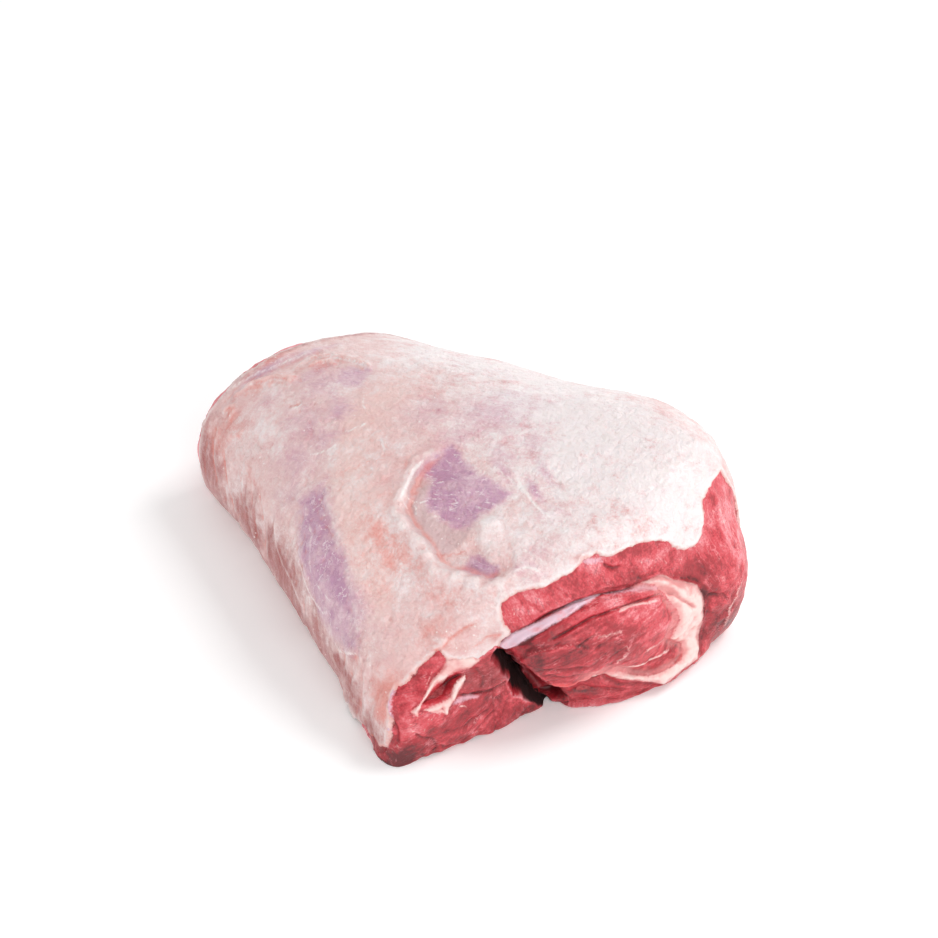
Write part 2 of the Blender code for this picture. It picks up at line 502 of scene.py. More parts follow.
FILMS = (
    Patch(
        (
            (-19, -9, 81), (-17, -14, 81), (-17, -28, 80), (-13, -36, 81), (-10, -46, 80), (-15, -48, 78),
            (-25, -48, 75), (-28, -50, 74), (-35, -48, 73), (-40, -40, 73), (-42, -33, 75), (-40, -26, 76),
            (-36, -22, 77), (-33, -19, 78), (-36, -15, 78), (-37, -13, 78), (-33, -11, 78), (-26, -9, 79),
        ),
        Chart.TOP, 1.0, 2.8,
    ),
    Patch(
        (
            (-37, -60, 69), (-34, -62, 69), (-32, -68, 68), (-29, -73, 69), (-34, -75, 66), (-40, -69, 65),
            (-43, -63, 66),
        ),
        Chart.TOP, 0.95, 1.2,
    ),
    Patch(((-24, -73, 70), (-19, -75, 72), (-17, -81, 70), (-23, -82, 68), (-28, -78, 68)), Chart.TOP, 0.45, 3.0),
    Patch(
        (
            (-70, 9, 68), (-75, 13, 64), (-80, 13, 59), (-84, 6, 54), (-87, 1, 49), (-89, -7, 43), (-90, -15, 39),
            (-91, -28, 31), (-91, -41, 29), (-90, -52, 31), (-87, -59, 37), (-84, -49, 45), (-80, -36, 55),
            (-77, -23, 60), (-75, -12, 63), (-72, 0, 67),
        ),
        Chart.WALL, 0.95, 6.0,
    ),
    Patch(
        ((-70, 9, 68), (-76, 13, 63), (-82, 8, 57), (-84, 0, 54), (-82, -5, 57), (-77, -5, 63), (-73, 1, 66)),
        Chart.WALL, 0.85, 5.0,
    ),
    Patch(
        (
            (-76, -9, 63), (-77, -19, 61), (-79, -32, 57), (-82, -42, 51), (-86, -54, 41), (-87, -44, 43),
            (-88, -30, 44), (-84, -22, 54), (-80, -15, 59),
        ),
        Chart.WALL, 1.15, 5.5,
    ),
    Patch(((-82, -2, 57), (-86, -3, 51), (-88, -12, 47), (-88, -20, 44), (-84, -14, 54)), Chart.WALL, 0.95, 3.5),
    Patch(
        ((-23, 58, 78), (-27, 65, 77), (-36, 65, 77), (-42, 58, 77), (-41, 52, 78), (-32, 48, 79)), Chart.TOP, 0.8, 3.0
    ),
    Patch(((-36, 64, 77), (-46, 62, 76), (-50, 50, 76), (-46, 42, 77), (-41, 52, 78)), Chart.TOP, 0.5, 4.0),
)  # fmt: skip
SMOKY = (
    Patch(
        (
            (-27, -17, 78), (-28, -23, 78), (-31, -26, 77), (-37, -26, 76), (-41, -31, 75), (-47, -24, 75),
            (-45, -19, 76), (-39, -13, 77), (-31, -14, 78),
        ),
        Chart.TOP, 0.9, 1.0,
    ),
    Patch(
        (
            (-47, -24, 75), (-41, -28, 76), (-41, -37, 74), (-36, -47, 72), (-31, -50, 73), (-35, -54, 71),
            (-44, -55, 69), (-50, -56, 67), (-51, -47, 70), (-52, -38, 71), (-51, -28, 73),
        ),
        Chart.TOP, 0.8, 1.5,
    ),
)  # fmt: skip
LUMPS = (
    Haze((-27, -56, 74), (7, 8, 9), 2.8),
    Haze((-36, -55, 72), (3.5, 4, 7), 1.0),
    Haze((-31, -67, 70), (4, 5, 6), 1.3),
    Haze((-22, -56, 76), (4, 5, 8), 0.8),
    Haze((-15, -56, 77), (4, 4, 8), 0.6),
    Haze((-15, -66, 75), (4, 4, 8), 0.6),
    Haze((-8, -60, 78), (3, 4, 8), 0.5),
    Haze((-55, -34, 71), (3.5, 5, 7), 1.0),
    Haze((-54, -44, 69), (3.5, 4, 7), 1.2),
    Haze((-53, -52, 67), (3.5, 3.5, 7), 1.0),
    Haze((-54, -59, 63), (4, 4, 7), 1.3),
    Haze((-48, -65, 63), (5, 3.5, 7), 1.3),
    Haze((-41, -72, 63), (5, 3.5, 7), 1.2),
    Haze((-33, -78, 65), (4, 3, 7), 0.8),
    Haze((-60, -80, 47), (4, 3, 3), 1.2),
)
LOW_MEAT = Patch(
    ((-92, -88, 10), (-88, -91, 12), (-82, -94, 14), (-84, -94, -6), (-94, -78, -6), (-93, -66, 3), (-92, -78, 8)),
    Chart.WALL,
    0.0,
)
# Red-brown low on the walls: partly meat showing through the thin fat, partly painted shade where the walls curve under
# towards the floor.
RUDDY = (
    Patch(
        (
            (-91, -37, 19), (-90, -44, 25), (-90, -52, 25), (-91, -60, 21), (-92, -63, 17), (-92, -54, 15),
            (-91, -44, 14),
        ),
        Chart.WALL, 0.9, 4.0,
    ),
    Patch(
        (
            (-88, 22, 45), (-90, 17, 36), (-91, 10, 30), (-91, 0, 28), (-92, -14, 20), (-92, -26, 14), (-92, -8, 6),
            (-92, 16, 8), (-91, 28, 22), (-90, 28, 34),
        ),
        Chart.WALL, 0.9, 4.0,
    ),
    Patch(((-91, -20, 32), (-91, -32, 30), (-92, -36, 20), (-92, -28, 12), (-92, -16, 20)), Chart.WALL, 0.7, 3.5),
)  # fmt: skip
# Painted light: hazes that pale the fat's blush on the left and top-left, which get less light from the lamps.
FAT_PAINTED_LIGHT = (
    Haze((-74, 62, 62), (14, 26, 12), 0.3),
    Haze((-62, -6, 70), (8, 16, 8), 0.25),
    Haze((-26, -58, 76), (8, 8, 9), 0.35),
    Haze((-30, -84, 62), (12, 6, 8), 0.3),
)
BLUSHES = (
    Haze((-63, -38, 65), (9, 22, 9), 1.0),
    Haze((-72, -40, 60), (8, 22, 9), 0.6),
    Haze((-62, -76, 48), (10, 9, 12), 0.5),
    Haze((-86, -80, 26), (8, 8, 12), 1.35),
    Haze((-88, 84, 44), (5, 10, 9), 0.7),
    Haze((-60, 95, 68), (20, 4, 8), 0.85),
    Haze((-83, 80, 53), (7, 9, 8), 0.55),
    Haze((-58, 80, 71), (18, 5, 7), 0.45),
    Haze((-36, 72, 76), (10, 5, 6), 0.45),
    Haze((-87, 52, 46), (6, 14, 8), 0.35),
)
# Red-brown hazes low on the walls and at the heel's corner: partly meat through thin fat, partly painted shade near the
# floor.
RUDDY_HAZES = (
    Haze((-94, -80, 4), (10, 14, 14), 1.7),
    Haze((-92, -60, 14), (8, 16, 12), 0.8),
    Haze((-91, 2, 32), (8, 22, 15), 1.0),
    Haze((-90, 46, 24), (8, 24, 20), 1.0),
    Haze((-91, -24, 34), (8, 18, 12), 0.75),
    Haze((-89, -46, 36), (8, 18, 12), 0.65),
    Haze((-92, 90, 28), (10, 18, 20), 1.0),
)
BLUSH_LINE = Outline(
    ((-60, -31, 70), (-59, -41, 67), (-57, -50, 65), (-57, -57, 62), (-56, -65, 60), (-51, -72, 60)),
    Chart.TOP,
    closed=False,
)
PEACH = Outline(
    (
        (-22, 55, 79), (-32, 46, 79), (-42, 42, 78), (-50, 34, 77), (-60, 20, 73), (-69, 8, 68), (-74, -12, 63),
        (-78, -30, 57), (-82, -48, 47), (-88, -64, 34),
    ),
    Chart.TOP,
    closed=False,
    reach=44.0,
)  # fmt: skip
COVER_FOLDS = (
    Fold(((-47, 76, 74), (-41, 77, 75), (-36, 74, 76), (-36, 69, 76)), Chart.TOP, 1.7, 1.5, 0.6, 0.15, 1.2),
    Fold(((-36, 77, 75), (-31, 74, 75), (-28, 69, 76), (-24, 62, 77), (-25, 55, 79)), Chart.TOP, 1.7, 1.5, 0.9, 0.15, 1.2),
    Fold(((-73, 89, 62), (-66, 86, 66), (-60, 82, 69), (-54, 74, 73), (-60, 72, 71)), Chart.TOP, 1.8, 1.7, 0.6, 0.1, 1.2),
    Fold(((-83, 89, 53), (-79, 86, 57), (-82, 80, 54)), Chart.TOP, 1.5, 1.6, 0.4, 0.1, 1.2),
    Fold(((-80, 98, 54), (-69, 94, 63), (-58, 90, 69), (-48, 88, 71), (-29, 86, 73)), Chart.TOP, 0.5, 1.1, 1.0, 0.7, 0.1),
    Fold(((-75, 98, 59), (-62, 96, 66), (-52, 91, 70), (-40, 92, 71)), Chart.TOP, 0.3, 1.0, 0.8, 0.5, 0.3),
    Fold(((-52, 78, 73), (-45, 82, 73), (-36, 80, 75), (-28, 76, 75)), Chart.TOP, 1.2, 1.3, 0.5, 0.1, 1.0),
    Fold(((-78, 92, 58), (-70, 86, 64), (-64, 79, 68)), Chart.TOP, 1.2, 1.3, 0.5, 0.1, 1.1),
    Fold(((-86, 78, 50), (-84, 72, 53), (-80, 68, 58)), Chart.TOP, 1.1, 1.3, 0.4, 0.1, 1.0),
    Fold(((-64, 59, 69), (-61, 58, 71), (-59, 56, 72)), Chart.TOP, -1.0, 0.8, 0.0, 0.0, 0.6),
    Fold(((-62, 56, 71), (-58, 55, 73)), Chart.TOP, 0.5, 1.0, 0.0, 0.9),
    Fold(((-34, 43, 79), (-38, 36, 79), (-40, 29, 79)), Chart.TOP, 0.25, 0.7, 0.0, 0.7),
    Fold(((-41, 58, 77), (-46, 51, 77)), Chart.TOP, 0.2, 0.5, 0.0, 0.7),
    Fold(((-53, 26, 76), (-47, 24, 78), (-41, 22, 79)), Chart.TOP, 0.3, 0.8, 0.0, 0.9),
    Fold(((-41, 14, 79), (-43, 6, 79), (-44, 2, 78)), Chart.TOP, 0.3, 0.7, 0.0, 0.8),
    Fold(((-55, 23, 75), (-61, 22, 73), (-65, 24, 70), (-69, 29, 68)), Chart.TOP, 0.3, 0.7, 0.0, 0.9),
    Fold(((-60, 26, 73), (-63, 29, 71), (-68, 32, 68)), Chart.TOP, 0.2, 0.6, 0.0, 0.7),
    Fold(((-65, 7, 71), (-59, 5, 73), (-52, 3, 76), (-44, -2, 78)), Chart.TOP, 0.3, 0.8, 0.0, 0.1, 0.8),
    Fold(((-29, -8, 79), (-39, -13, 77), (-46, -20, 76), (-51, -25, 74)), Chart.TOP, 0.7, 0.9, 0.0, 0.9),
    Fold(((-48, -22, 75), (-45, -26, 75), (-43, -28, 75), (-38, -28, 76)), Chart.TOP, 0.3, 0.5, 0.0, 0.95),
    Fold(((-49, -23, 74), (-49, -28, 74), (-50, -33, 73)), Chart.TOP, 0.3, 0.5, 0.0, 0.9),
    Fold(((-47, -25, 75), (-46, -29, 74), (-48, -33, 73)), Chart.TOP, 0.3, 0.5, 0.0, 0.9),
    Fold(((-13, -15, 82), (-5, -18, 84), (2, -18, 85), (8, -21, 85), (14, -20, 86)), Chart.TOP, 0.4, 0.9, 0.5, 0.7),
    Fold(((-4, -37, 82), (-5, -45, 81), (-5, -54, 80), (-4, -62, 78), (-1, -68, 78)), Chart.TOP, 0.6, 0.9, 0.0, 0.95),
    Fold(((-11, -29, 82), (-8, -39, 81), (-6, -48, 80), (-4, -55, 79)), Chart.TOP, 0.35, 0.7, 0.0, 0.8),
    Fold(((-13, -21, 82), (-10, -32, 82), (-8, -44, 81)), Chart.TOP, -0.3, 0.8, 0.0, 0.0, 0.3),
    Fold(((4, -35, 84), (6, -44, 83), (8, -54, 82)), Chart.TOP, -0.3, 1.0, 0.0, 0.0, 0.25),
    Fold(((-51, -52, 68), (-42, -56, 69), (-35, -58, 69)), Chart.TOP, -0.5, 0.7, 0.4, 0.2, 0.7),
    Fold(((-28, -77, 67), (-21, -79, 69), (-16, -84, 68)), Chart.TOP, 0.5, 0.9, 0.0, 0.8),
    Fold(((-20, -70, 73), (-16, -77, 72), (-13, -83, 70)), Chart.TOP, 0.4, 0.8, 0.0, 0.7),
    Fold(((-14, -66, 76), (-9, -72, 76), (-6, -78, 74)), Chart.TOP, 0.4, 0.8, 0.0, 0.6),
    Fold(((-53, -48, 68), (-50, -51, 68)), Chart.TOP, -0.5, 0.6, 0.0, 0.0, 0.9),
    Fold(((-66, -78, 42), (-61, -82, 46), (-57, -82, 49), (-51, -83, 53), (-45, -84, 56)), Chart.FRONT, -0.6, 0.8, 0.7, 0.0, 0.8),
    Fold(((-53, -85, 42), (-48, -87, 45), (-44, -88, 49), (-35, -90, 48)), Chart.FRONT, -0.35, 0.7, 0.3, 0.0, 0.7),
    Fold(((-70, 9, 68), (-73, -1, 65), (-76, -13, 62), (-79, -30, 57), (-83, -46, 48), (-88, -60, 35)), Chart.TOP, 0.4, 1.6, 0.9, 0.35),
    Fold(((-71, 10, 67), (-77, 15, 62), (-82, 15, 57), (-87, 22, 48)), Chart.WALL, 0.4, 1.0, 0.6, 0.5, 0.3),
    Fold(((-86, 24, 49), (-89, 18, 41), (-90, 15, 35), (-91, 8, 31), (-91, -2, 28), (-92, -14, 21)), Chart.WALL, 0.7, 1.3, 1.3, 0.4),
    Fold(((-88, -2, 46), (-90, -12, 38), (-91, -21, 35), (-90, -31, 35), (-88, -39, 43)), Chart.WALL, 0.4, 0.7, 0.0, 0.85),
    Fold(((-88, -16, 45), (-89, -28, 43), (-88, -36, 44)), Chart.WALL, 0.3, 0.6, 0.0, 0.7),
    Fold(((-82, 2, 58), (-83, -7, 56), (-87, -13, 49), (-90, -20, 42)), Chart.WALL, 0.3, 0.9, 0.0, 0.6),
    Fold(((-86, 4, 51), (-88, -6, 46), (-90, -16, 40), (-91, -24, 33)), Chart.WALL, 0.3, 1.1, 0.0, 0.45),
    Fold(((-90, -41, 28), (-90, -47, 27), (-90, -53, 31), (-88, -61, 36)), Chart.WALL, 0.5, 0.7, 0.6, 0.9),
    Fold(((-87, -59, 37), (-89, -65, 29), (-91, -69, 20), (-92, -72, 10)), Chart.WALL, 0.7, 1.1, 0.8, 0.3, 0.2),
    Fold(((-86, 42, 48), (-89, 34, 41), (-90, 28, 31), (-90, 30, 16)), Chart.WALL, -0.8, 1.8, 0.8, 0.0, 0.6),
    Fold(((-85, 52, 50), (-89, 44, 38), (-91, 38, 24)), Chart.WALL, -0.5, 1.4, 0.5, 0.0, 0.4),
    Fold(((-86, 62, 48), (-90, 54, 34), (-91, 48, 20)), Chart.WALL, -0.7, 2.0, 0.7, 0.0, 0.6),
    Fold(((-87, 79, 47), (-91, 70, 32), (-91, 60, 16)), Chart.WALL, -1.0, 2.0, 1.0, 0.0, 0.8),
    Fold(((-84, 90, 50), (-91, 84, 36), (-92, 78, 20)), Chart.WALL, -0.8, 2.0, 0.8, 0.0, 0.8),
)  # fmt: skip
HAZES = (
    Haze((6, -2, 84), (26, 18, 20), 0.54),
    Haze((-16, 14, 82), (13, 14, 12), 0.41),
    Haze((9, -28, 85), (9, 12, 12), 0.38),
    Haze((6, -44, 83), (3, 9, 10), 0.61),
    Haze((-2, -50, 81), (2.5, 7, 10), 0.81),
    Haze((-8, -34, 82), (3.5, 12, 10), 0.61),
    Haze((-48, 40, 77), (8, 8, 10), 0.68),
    Haze((-45, 70, 75), (14, 5, 10), 0.54),
    Haze((-62, 44, 72), (13, 14, 14), 0.51),
    Haze((-60, 30, 73), (9, 9, 10), 0.57),
    Haze((-72, 30, 65), (12, 18, 14), 0.51),
    Haze((-80, 20, 58), (9, 12, 14), 0.47),
    Haze((-66, 72, 67), (9, 7, 10), 0.38),
    Haze((-62, 91, 67), (20, 4.5, 8), 0.95),
    Haze((-40, 88, 72), (18, 3.0, 6), 0.68),
    Haze((-14, -76, 72), (12, 6, 8), 0.34),
    Haze((40, 40, 85), (40, 30, 30), 0.16),
    Haze((-14, -6, 82), (12, 9, 8), 0.5),
    Haze((-46, 60, 76), (14, 9, 8), 0.6),
    Haze((-86, -36, 47), (9, 22, 11), 1.1),
    Haze((-84, -10, 54), (8, 12, 9), 0.6),
    Haze((-4, -26, 83), (7, 12, 8), 0.5),
    Haze((-20, -84, 68), (10, 4, 5), 0.3),
    Haze((-2, -64, 78), (7, 6, 6), 0.35),
)
CREASE_DARK = ((-28, -91, 51), (-19, -92, 54), (-7, -93, 56), (5, -94, 56), (14, -95, 55), (25, -95, 54))
LENS = Outline(
    (
        (-10, -94, 55), (4, -94, 56), (16, -94, 55), (24, -95, 54), (31, -96, 51), (34, -98, 48), (27, -99, 49),
        (15, -99, 51), (5, -100, 51), (-5, -100, 51), (-14, -100, 50), (-16, -98, 51),
    )
)  # fmt: skip
LEDGE = Outline(
    (
        (-34, -96, 39), (-29, -98, 43), (-22, -101, 44), (-14, -103, 45), (-6, -106, 41), (4, -107, 34),
        (6, -107, 27), (-5, -106, 24), (-12, -105, 22.5), (-19, -103, 23), (-23, -102, 26), (-27, -101, 31),
        (-30, -99, 35),
    )
)  # fmt: skip
BAND_SILVER = Outline(
    ((-1, -87, 71), (3, -86, 71), (8, -88, 70), (10, -90, 67), (6, -89, 68), (1, -89, 69)), reach=6.0
)
BROWN = Outline(
    (
        (-54, -88, 34), (-47, -88, 37), (-40, -89, 40), (-30, -78, 24), (-30, -86, 21), (-37, -94, 24),
        (-48, -94, 24), (-58, -93, 28), (-57, -90, 31),
    )
)  # fmt: skip
HEEL_MEMBRANE = Outline(
    ((-60, -93, 27), (-56, -93, 27), (-51, -94, 25), (-47, -94, 25), (-51, -94, 22), (-57, -94, 23), (-63, -94, 24)),
    reach=6.0,
)
# Painted shade: the gap between the heel and the rolled muscle, painted near black where shade falls deep into it.
GAP_SHADE_OUTLINE = Outline(
    (
        (-41, -90, 42), (-35, -88, 36), (-27, -76, 20), (-24, -77, 15), (-22, -78, 12), (-20, -80, 9),
        (-18, -84, 5), (-14, -92, 1), (-13, -96, -3), (-20, -94, 2), (-26, -93, 7), (-33, -94, 16),
        (-36, -94, 22), (-35, -93, 26), (-34, -84, 21), (-36, -85, 25), (-41, -89, 36),
    ),
    facing=-2.0,
)  # fmt: skip
CUT_FOLDS = (
    Fold(CREASE_DARK, Chart.FRONT, -1.6, 0.5, 0.8),
    Fold(
        ((-24, -99, 46), (-17, -100, 48), (-11, -100, 50), (-4, -100, 51), (10, -100, 51), (27, -99, 49), (34, -98, 48)),
        Chart.FRONT, -1.3, 0.6, -0.8,
    ),
    # Painted highlight: a pale line along the roll's lip just below the lens fold.
    Fold(((6, -101, 50), (16, -100, 50), (23, -100, 48), (30, -100, 47)), Chart.FRONT, 0.4, 0.8, 0.0, 0.8),
    Fold(((2, -94, 55.6), (12, -95, 55.3), (20, -95, 54.6), (27, -95, 53.4)), Chart.FRONT, 0.3, 0.6, 0.0, 0.35),
    Fold(((-33, -97, 40), (-29, -98, 43), (-22, -101, 44), (-14, -103, 45), (-8, -104, 45)), Chart.FRONT, 0.6, 0.6, 0.0, 0.45),
    Fold(((-29, -100, 36), (-22, -104, 36), (-15, -106, 35), (-6, -107, 33)), Chart.FRONT, -0.9, 0.7, 0.5),
    Fold(((-26, -101, 32), (-17, -106, 31), (-8, -107, 29), (2, -107, 27)), Chart.FRONT, -1.0, 0.7, 0.5),
    Fold(((-6, -105, 42), (2, -106, 40), (12, -106, 38), (22, -105, 37)), Chart.FRONT, -0.5, 1.0, 0.4),
    Fold(((-24, -102, 26), (-18, -103, 24), (-10, -105, 24), (-3, -106, 24)), Chart.FRONT, 0.9, 1.0, 0.0, 0.1, 1.0),
    Fold(((-5, -104, 44), (3, -105, 44), (10, -105, 43)), Chart.FRONT, 0.3, 1.4, 0.0, 0.5),
    Fold(((6, -106, 39), (11, -107, 35), (8, -107, 30), (2, -107, 27)), Chart.FRONT, 0.3, 1.0, 0.0, 0.5),
    Fold(((8, -105, 21), (15, -104, 19), (23, -103, 18), (30, -102, 18), (38, -100, 16.5)), Chart.FRONT, 0.4, 0.6, 0.0, 0.9),
    Fold(((18, -106, 27), (23, -106, 28.5), (28, -105, 28), (34, -103, 27)), Chart.FRONT, 0.4, 0.8, 0.0, 0.7),
    Fold(((13, -106, 38), (18, -104, 43), (24, -103, 44), (31, -101, 43)), Chart.FRONT, 0.3, 0.6, 0.0, 0.4),
    Fold(((43, -99, 14), (42, -101, 12), (37, -104, 10)), Chart.FRONT, -1.0, 0.7, 0.0),
    Fold(((33, -97, 48), (37, -98, 46), (41, -99, 41), (45, -99, 37), (50, -98, 32)), Chart.FRONT, -1.5, 0.9, 0.4, 0.0, 0.9),
    Fold(((30, -96, 50), (36, -98, 48), (37, -99, 45)), Chart.FRONT, -1.0, 0.8, 0.0, 0.0, 0.9),
    Fold(((-16, -98, 9), (-5, -103, 12), (7, -106, 10), (16, -107, 6)), Chart.FRONT, -0.9, 1.0, 0.5),
    Fold(((-17, -99, 15), (-8, -104, 17), (2, -105, 16)), Chart.FRONT, -0.8, 0.9, 0.4),
    Fold(((8, -90, 69), (10, -91, 66), (12, -92, 65), (16, -92, 65)), Chart.FRONT, -1.0, 0.8, 0.6),
    Fold(((-24, -88, 59), (-22, -90, 56), (-20, -91, 55)), Chart.FRONT, -0.5, 0.8, 0.2),
    Fold(((-13, -88, 63), (-10, -90, 60), (-8, -91, 58)), Chart.FRONT, -0.4, 0.8, 0.2),
    Fold(((55, -97, 36), (59, -98, 35), (63, -99, 34), (66, -99, 29)), Chart.FRONT, -1.1, 0.9, 0.8),
    Fold(((67, -77, 77), (68, -81, 70), (70, -85, 60), (69, -91, 52)), Chart.FRONT, 0.4, 1.6, 0.0, 0.4),
    Fold(((74, -76, 70), (78, -81, 58), (76, -89, 50), (72, -94, 44)), Chart.FRONT, 0.3, 1.4, 0.0, 0.4),
    Fold(((75, -95, 38), (71, -98, 33), (70, -98, 27), (67, -99, 20), (64, -97, 8)), Chart.FRONT, 0.6, 0.9, 0.0, 0.6),
    Fold(((-60, -92, 28), (-55, -93, 26), (-44, -94, 24), (-39, -93, 24), (-35, -94, 26)), Chart.FRONT, -1.1, 0.7, 0.7),
    Fold(((-36, -94, 22), (-41, -94, 18), (-46, -95, 15), (-53, -96, 12), (-61, -96, 10)), Chart.FRONT, -0.6, 0.8, 0.4),
    Fold(((-38, -94, 20), (-42, -95, 14), (-48, -95, 9), (-53, -96, 7)), Chart.FRONT, -0.6, 0.8, 0.4),
    Fold(((-36, -94, 19), (-38, -95, 12), (-41, -95, 6), (-45, -95, 1)), Chart.FRONT, -0.6, 0.8, 0.3),
    Fold(((-45, -95, 16), (-57, -96, 11), (-64, -96, 11), (-71, -96, 13)), Chart.FRONT, -0.6, 0.8, 0.5),
    Fold(((-81, -93, 17), (-77, -95, 13), (-72, -96, 10), (-70, -96, 4), (-73, -95, 0)), Chart.FRONT, -1.0, 0.8, 0.6),
    Fold(((-70, -96, 7), (-67, -96, 3), (-61, -96, 2)), Chart.FRONT, -1.0, 0.8, 0.5),
    Fold(((-50, -89, 36), (-47, -91, 31), (-49, -93, 26)), Chart.FRONT, -0.6, 1.0, 0.3),
    Fold(((-66, -84, 38), (-70, -86, 34), (-73, -88, 31)), Chart.FRONT, 0.3, 0.6, 0.0, 0.5),
    Fold(((-73, -92, 25), (-69, -94, 24), (-64, -95, 22)), Chart.FRONT, 0.4, 1.0, 0.0, 0.8),
    Fold(((-60, -94, 22), (-57, -94, 21), (-55, -94, 19)), Chart.FRONT, 0.3, 0.6, 0.0, 0.8),
    Fold(((-84, -86, 27), (-80, -89, 30), (-76, -90, 30)), Chart.FRONT, -0.5, 0.9, 0.3),
    Fold(((-87, -87, 22), (-85, -89, 15), (-86, -90, 9)), Chart.FRONT, -1.0, 0.9, 0.5),
)  # fmt: skip
REAR_FOLDS = (
    Fold(((-86, 107, 42), (-78, 107, 40), (-70, 107, 37), (-58, 107, 29)), Chart.REAR, -0.3, 1.5, 0.3, 1.1),
    Fold(((-58, 107, 29), (-54, 107, 24), (-52, 107, 15), (-54, 107, 7)), Chart.REAR, -0.3, 1.2, 0.3, 1.1),
    Fold(
        ((-58, 107, 29), (-44, 107, 35), (-28, 107, 37), (-10, 107, 33), (6, 107, 25), (32, 107, 22)),
        Chart.REAR, -0.2, 1.7, -0.3, 1.15,
    ),
    Fold(((-44, 107, 35), (-46, 107, 41), (-45, 107, 49), (-38, 107, 60)), Chart.REAR, -0.35, 1.2, 0.3, 1.0),
    Fold(((-10, 107, 33), (-9, 107, 39), (-4, 107, 47), (2, 107, 55)), Chart.REAR, -0.35, 1.3, -0.3, 1.0),
    Fold(((-28, 107, 37), (-24, 107, 29), (-24, 107, 18), (-29, 107, 7)), Chart.REAR, -0.35, 1.2, 0.3, 0.95),
    Fold(((-72, 107, 38), (-77, 107, 44), (-76, 107, 51), (-70, 107, 57)), Chart.REAR, -0.3, 1.0, 0.3, 0.85),
    Fold(((4, 107, 26), (9, 107, 19), (8, 107, 12), (4, 107, 5)), Chart.REAR, -0.3, 1.1, 0.3, 0.9),
    Fold(((-78, 107, 22), (-72, 107, 20), (-67, 107, 15), (-63, 107, 7)), Chart.REAR, -0.3, 0.9, 0.2, 0.8),
)  # fmt: skip
REAR_FATS = (
    Outline(
        (
            (-62, 107, 31), (-57, 107, 31.5), (-50, 107, 34), (-47, 107, 38), (-44, 107, 37), (-34, 107, 38.5),
            (-24, 107, 38), (-12, 107, 35), (-8, 107, 38), (-7, 107, 33), (0, 107, 29), (8, 107, 25.5),
            (6, 107, 22), (-4, 107, 27), (-14, 107, 32.5), (-27, 107, 35), (-29, 107, 31), (-31, 107, 35.5),
            (-46, 107, 33), (-54, 107, 28), (-54, 107, 22), (-57, 107, 27),
        ),
        Chart.REAR,
    ),
    Outline(((-70, 107, 40), (-66, 107, 37), (-71, 107, 35), (-78, 107, 38), (-74, 107, 40)), Chart.REAR),
)
REAR_SILVER = (
    Outline(((-40, 107, 60), (-20, 107, 62), (-10, 107, 54), (-14, 107, 44), (-30, 107, 50)), Chart.REAR),
    Outline(((-84, 107, 34), (-70, 107, 32), (-62, 107, 24), (-64, 107, 18), (-76, 107, 26)), Chart.REAR),
)
# Painted light: lighter patches laid on the cut meat's tone, where the lamps fall on the band, the roll and the
# right-hand bulge in front, and a few on the rear face.
MEAT_PAINTED_LIGHT = (
    Haze((-30, 107, 54), (14, 12, 7), 0.7),
    Haze((-74, 107, 26), (9, 12, 10), 0.6),
    Haze((10, 107, 42), (14, 12, 9), 0.5),
    Haze((-40, 107, 16), (10, 12, 8), 0.5),
    Haze((52, -88, 60), (14, 10, 8), 0.75),
    Haze((34, -90, 62), (22, 6, 6), 0.7),
    Haze((24, -104, 34), (10, 8, 10), 0.5),
    Haze((6, -98, 53), (24, 5, 3.5), 0.6),
    Haze((22, -100, 46), (14, 8, 6), 0.75),
    Haze((28, -103, 30), (12, 8, 9), 0.55),
    Haze((10, -97, 53), (26, 6, 3), 0.55),
    Haze((74, -84, 58), (12, 16, 20), 1.0),
    Haze((62, -84, 66), (10, 10, 9), 0.7),
    Haze((-22, -88, 58), (18, 6, 6), 0.75),
    Haze((4, -88, 68), (12, 5, 4), 0.7),
    Haze((30, -84, 72), (16, 6, 4), 0.35),
    Haze((-14, -105, 27), (12, 6, 4), 0.55),
    Haze((8, -106, 10), (8, 6, 6), 0.2),
    Haze((-76, -87, 30), (9, 7, 7), 0.4),
    Haze((-70, -93, 23), (9, 5, 5), 0.6),
    Haze((-54, -94, 20), (10, 5, 5), 0.35),
    Haze((37, -100, 43), (4, 4, 6), 1.0),
)
# Painted shade: darker patches of the cut meat, in front on the roll, the heel and the lower lip, along the bottom by
# the floor, low on the right and along the crease, and three on the rear face.
MEAT_PAINTED_SHADE = (
    Haze((-10, -104, 40), (18, 10, 12), 0.35),
    Haze((-56, -94, 16), (22, 8, 10), 0.3),
    Haze((-60, 107, 50), (8, 12, 8), 0.5),
    Haze((-16, 107, 14), (12, 12, 9), 0.45),
    Haze((24, 107, 12), (14, 12, 8), 0.5),
    Haze((-44, -94, 18), (11, 6, 7), 0.45),
    Haze((-48, -91, 29), (8, 6, 5), 0.35),
    Haze((-16, -102, 36), (16, 10, 12), 0.45),
    Haze((2, -106, 36), (14, 8, 9), 0.5),
    Haze((4, -107, 10), (16, 8, 7), 0.35),
    Haze((66, -96, 12), (10, 10, 12), 0.6),
    Haze((-13, -103, 18), (10, 8, 6), 0.9),
    Haze((-28, -98, 36), (6, 10, 12), 0.6),
    Haze((-24, -96, 46), (12, 5, 3), 0.55),
    Haze((-84, -90, 4), (14, 12, 7), 1.0),
    Haze((-60, -97, 2), (30, 10, 5), 0.5),
    Haze((-20, -97, 3), (20, 10, 6), 0.7),
    Haze((55, -98, 14), (10, 8, 10), 0.35),
    Haze((20, -93, 57), (34, 4, 3), 0.25),
    Haze((52, -94, 48), (14, 6, 8), 0.3),
    Haze((56, -97, 37), (5, 4, 5), 0.7),
)


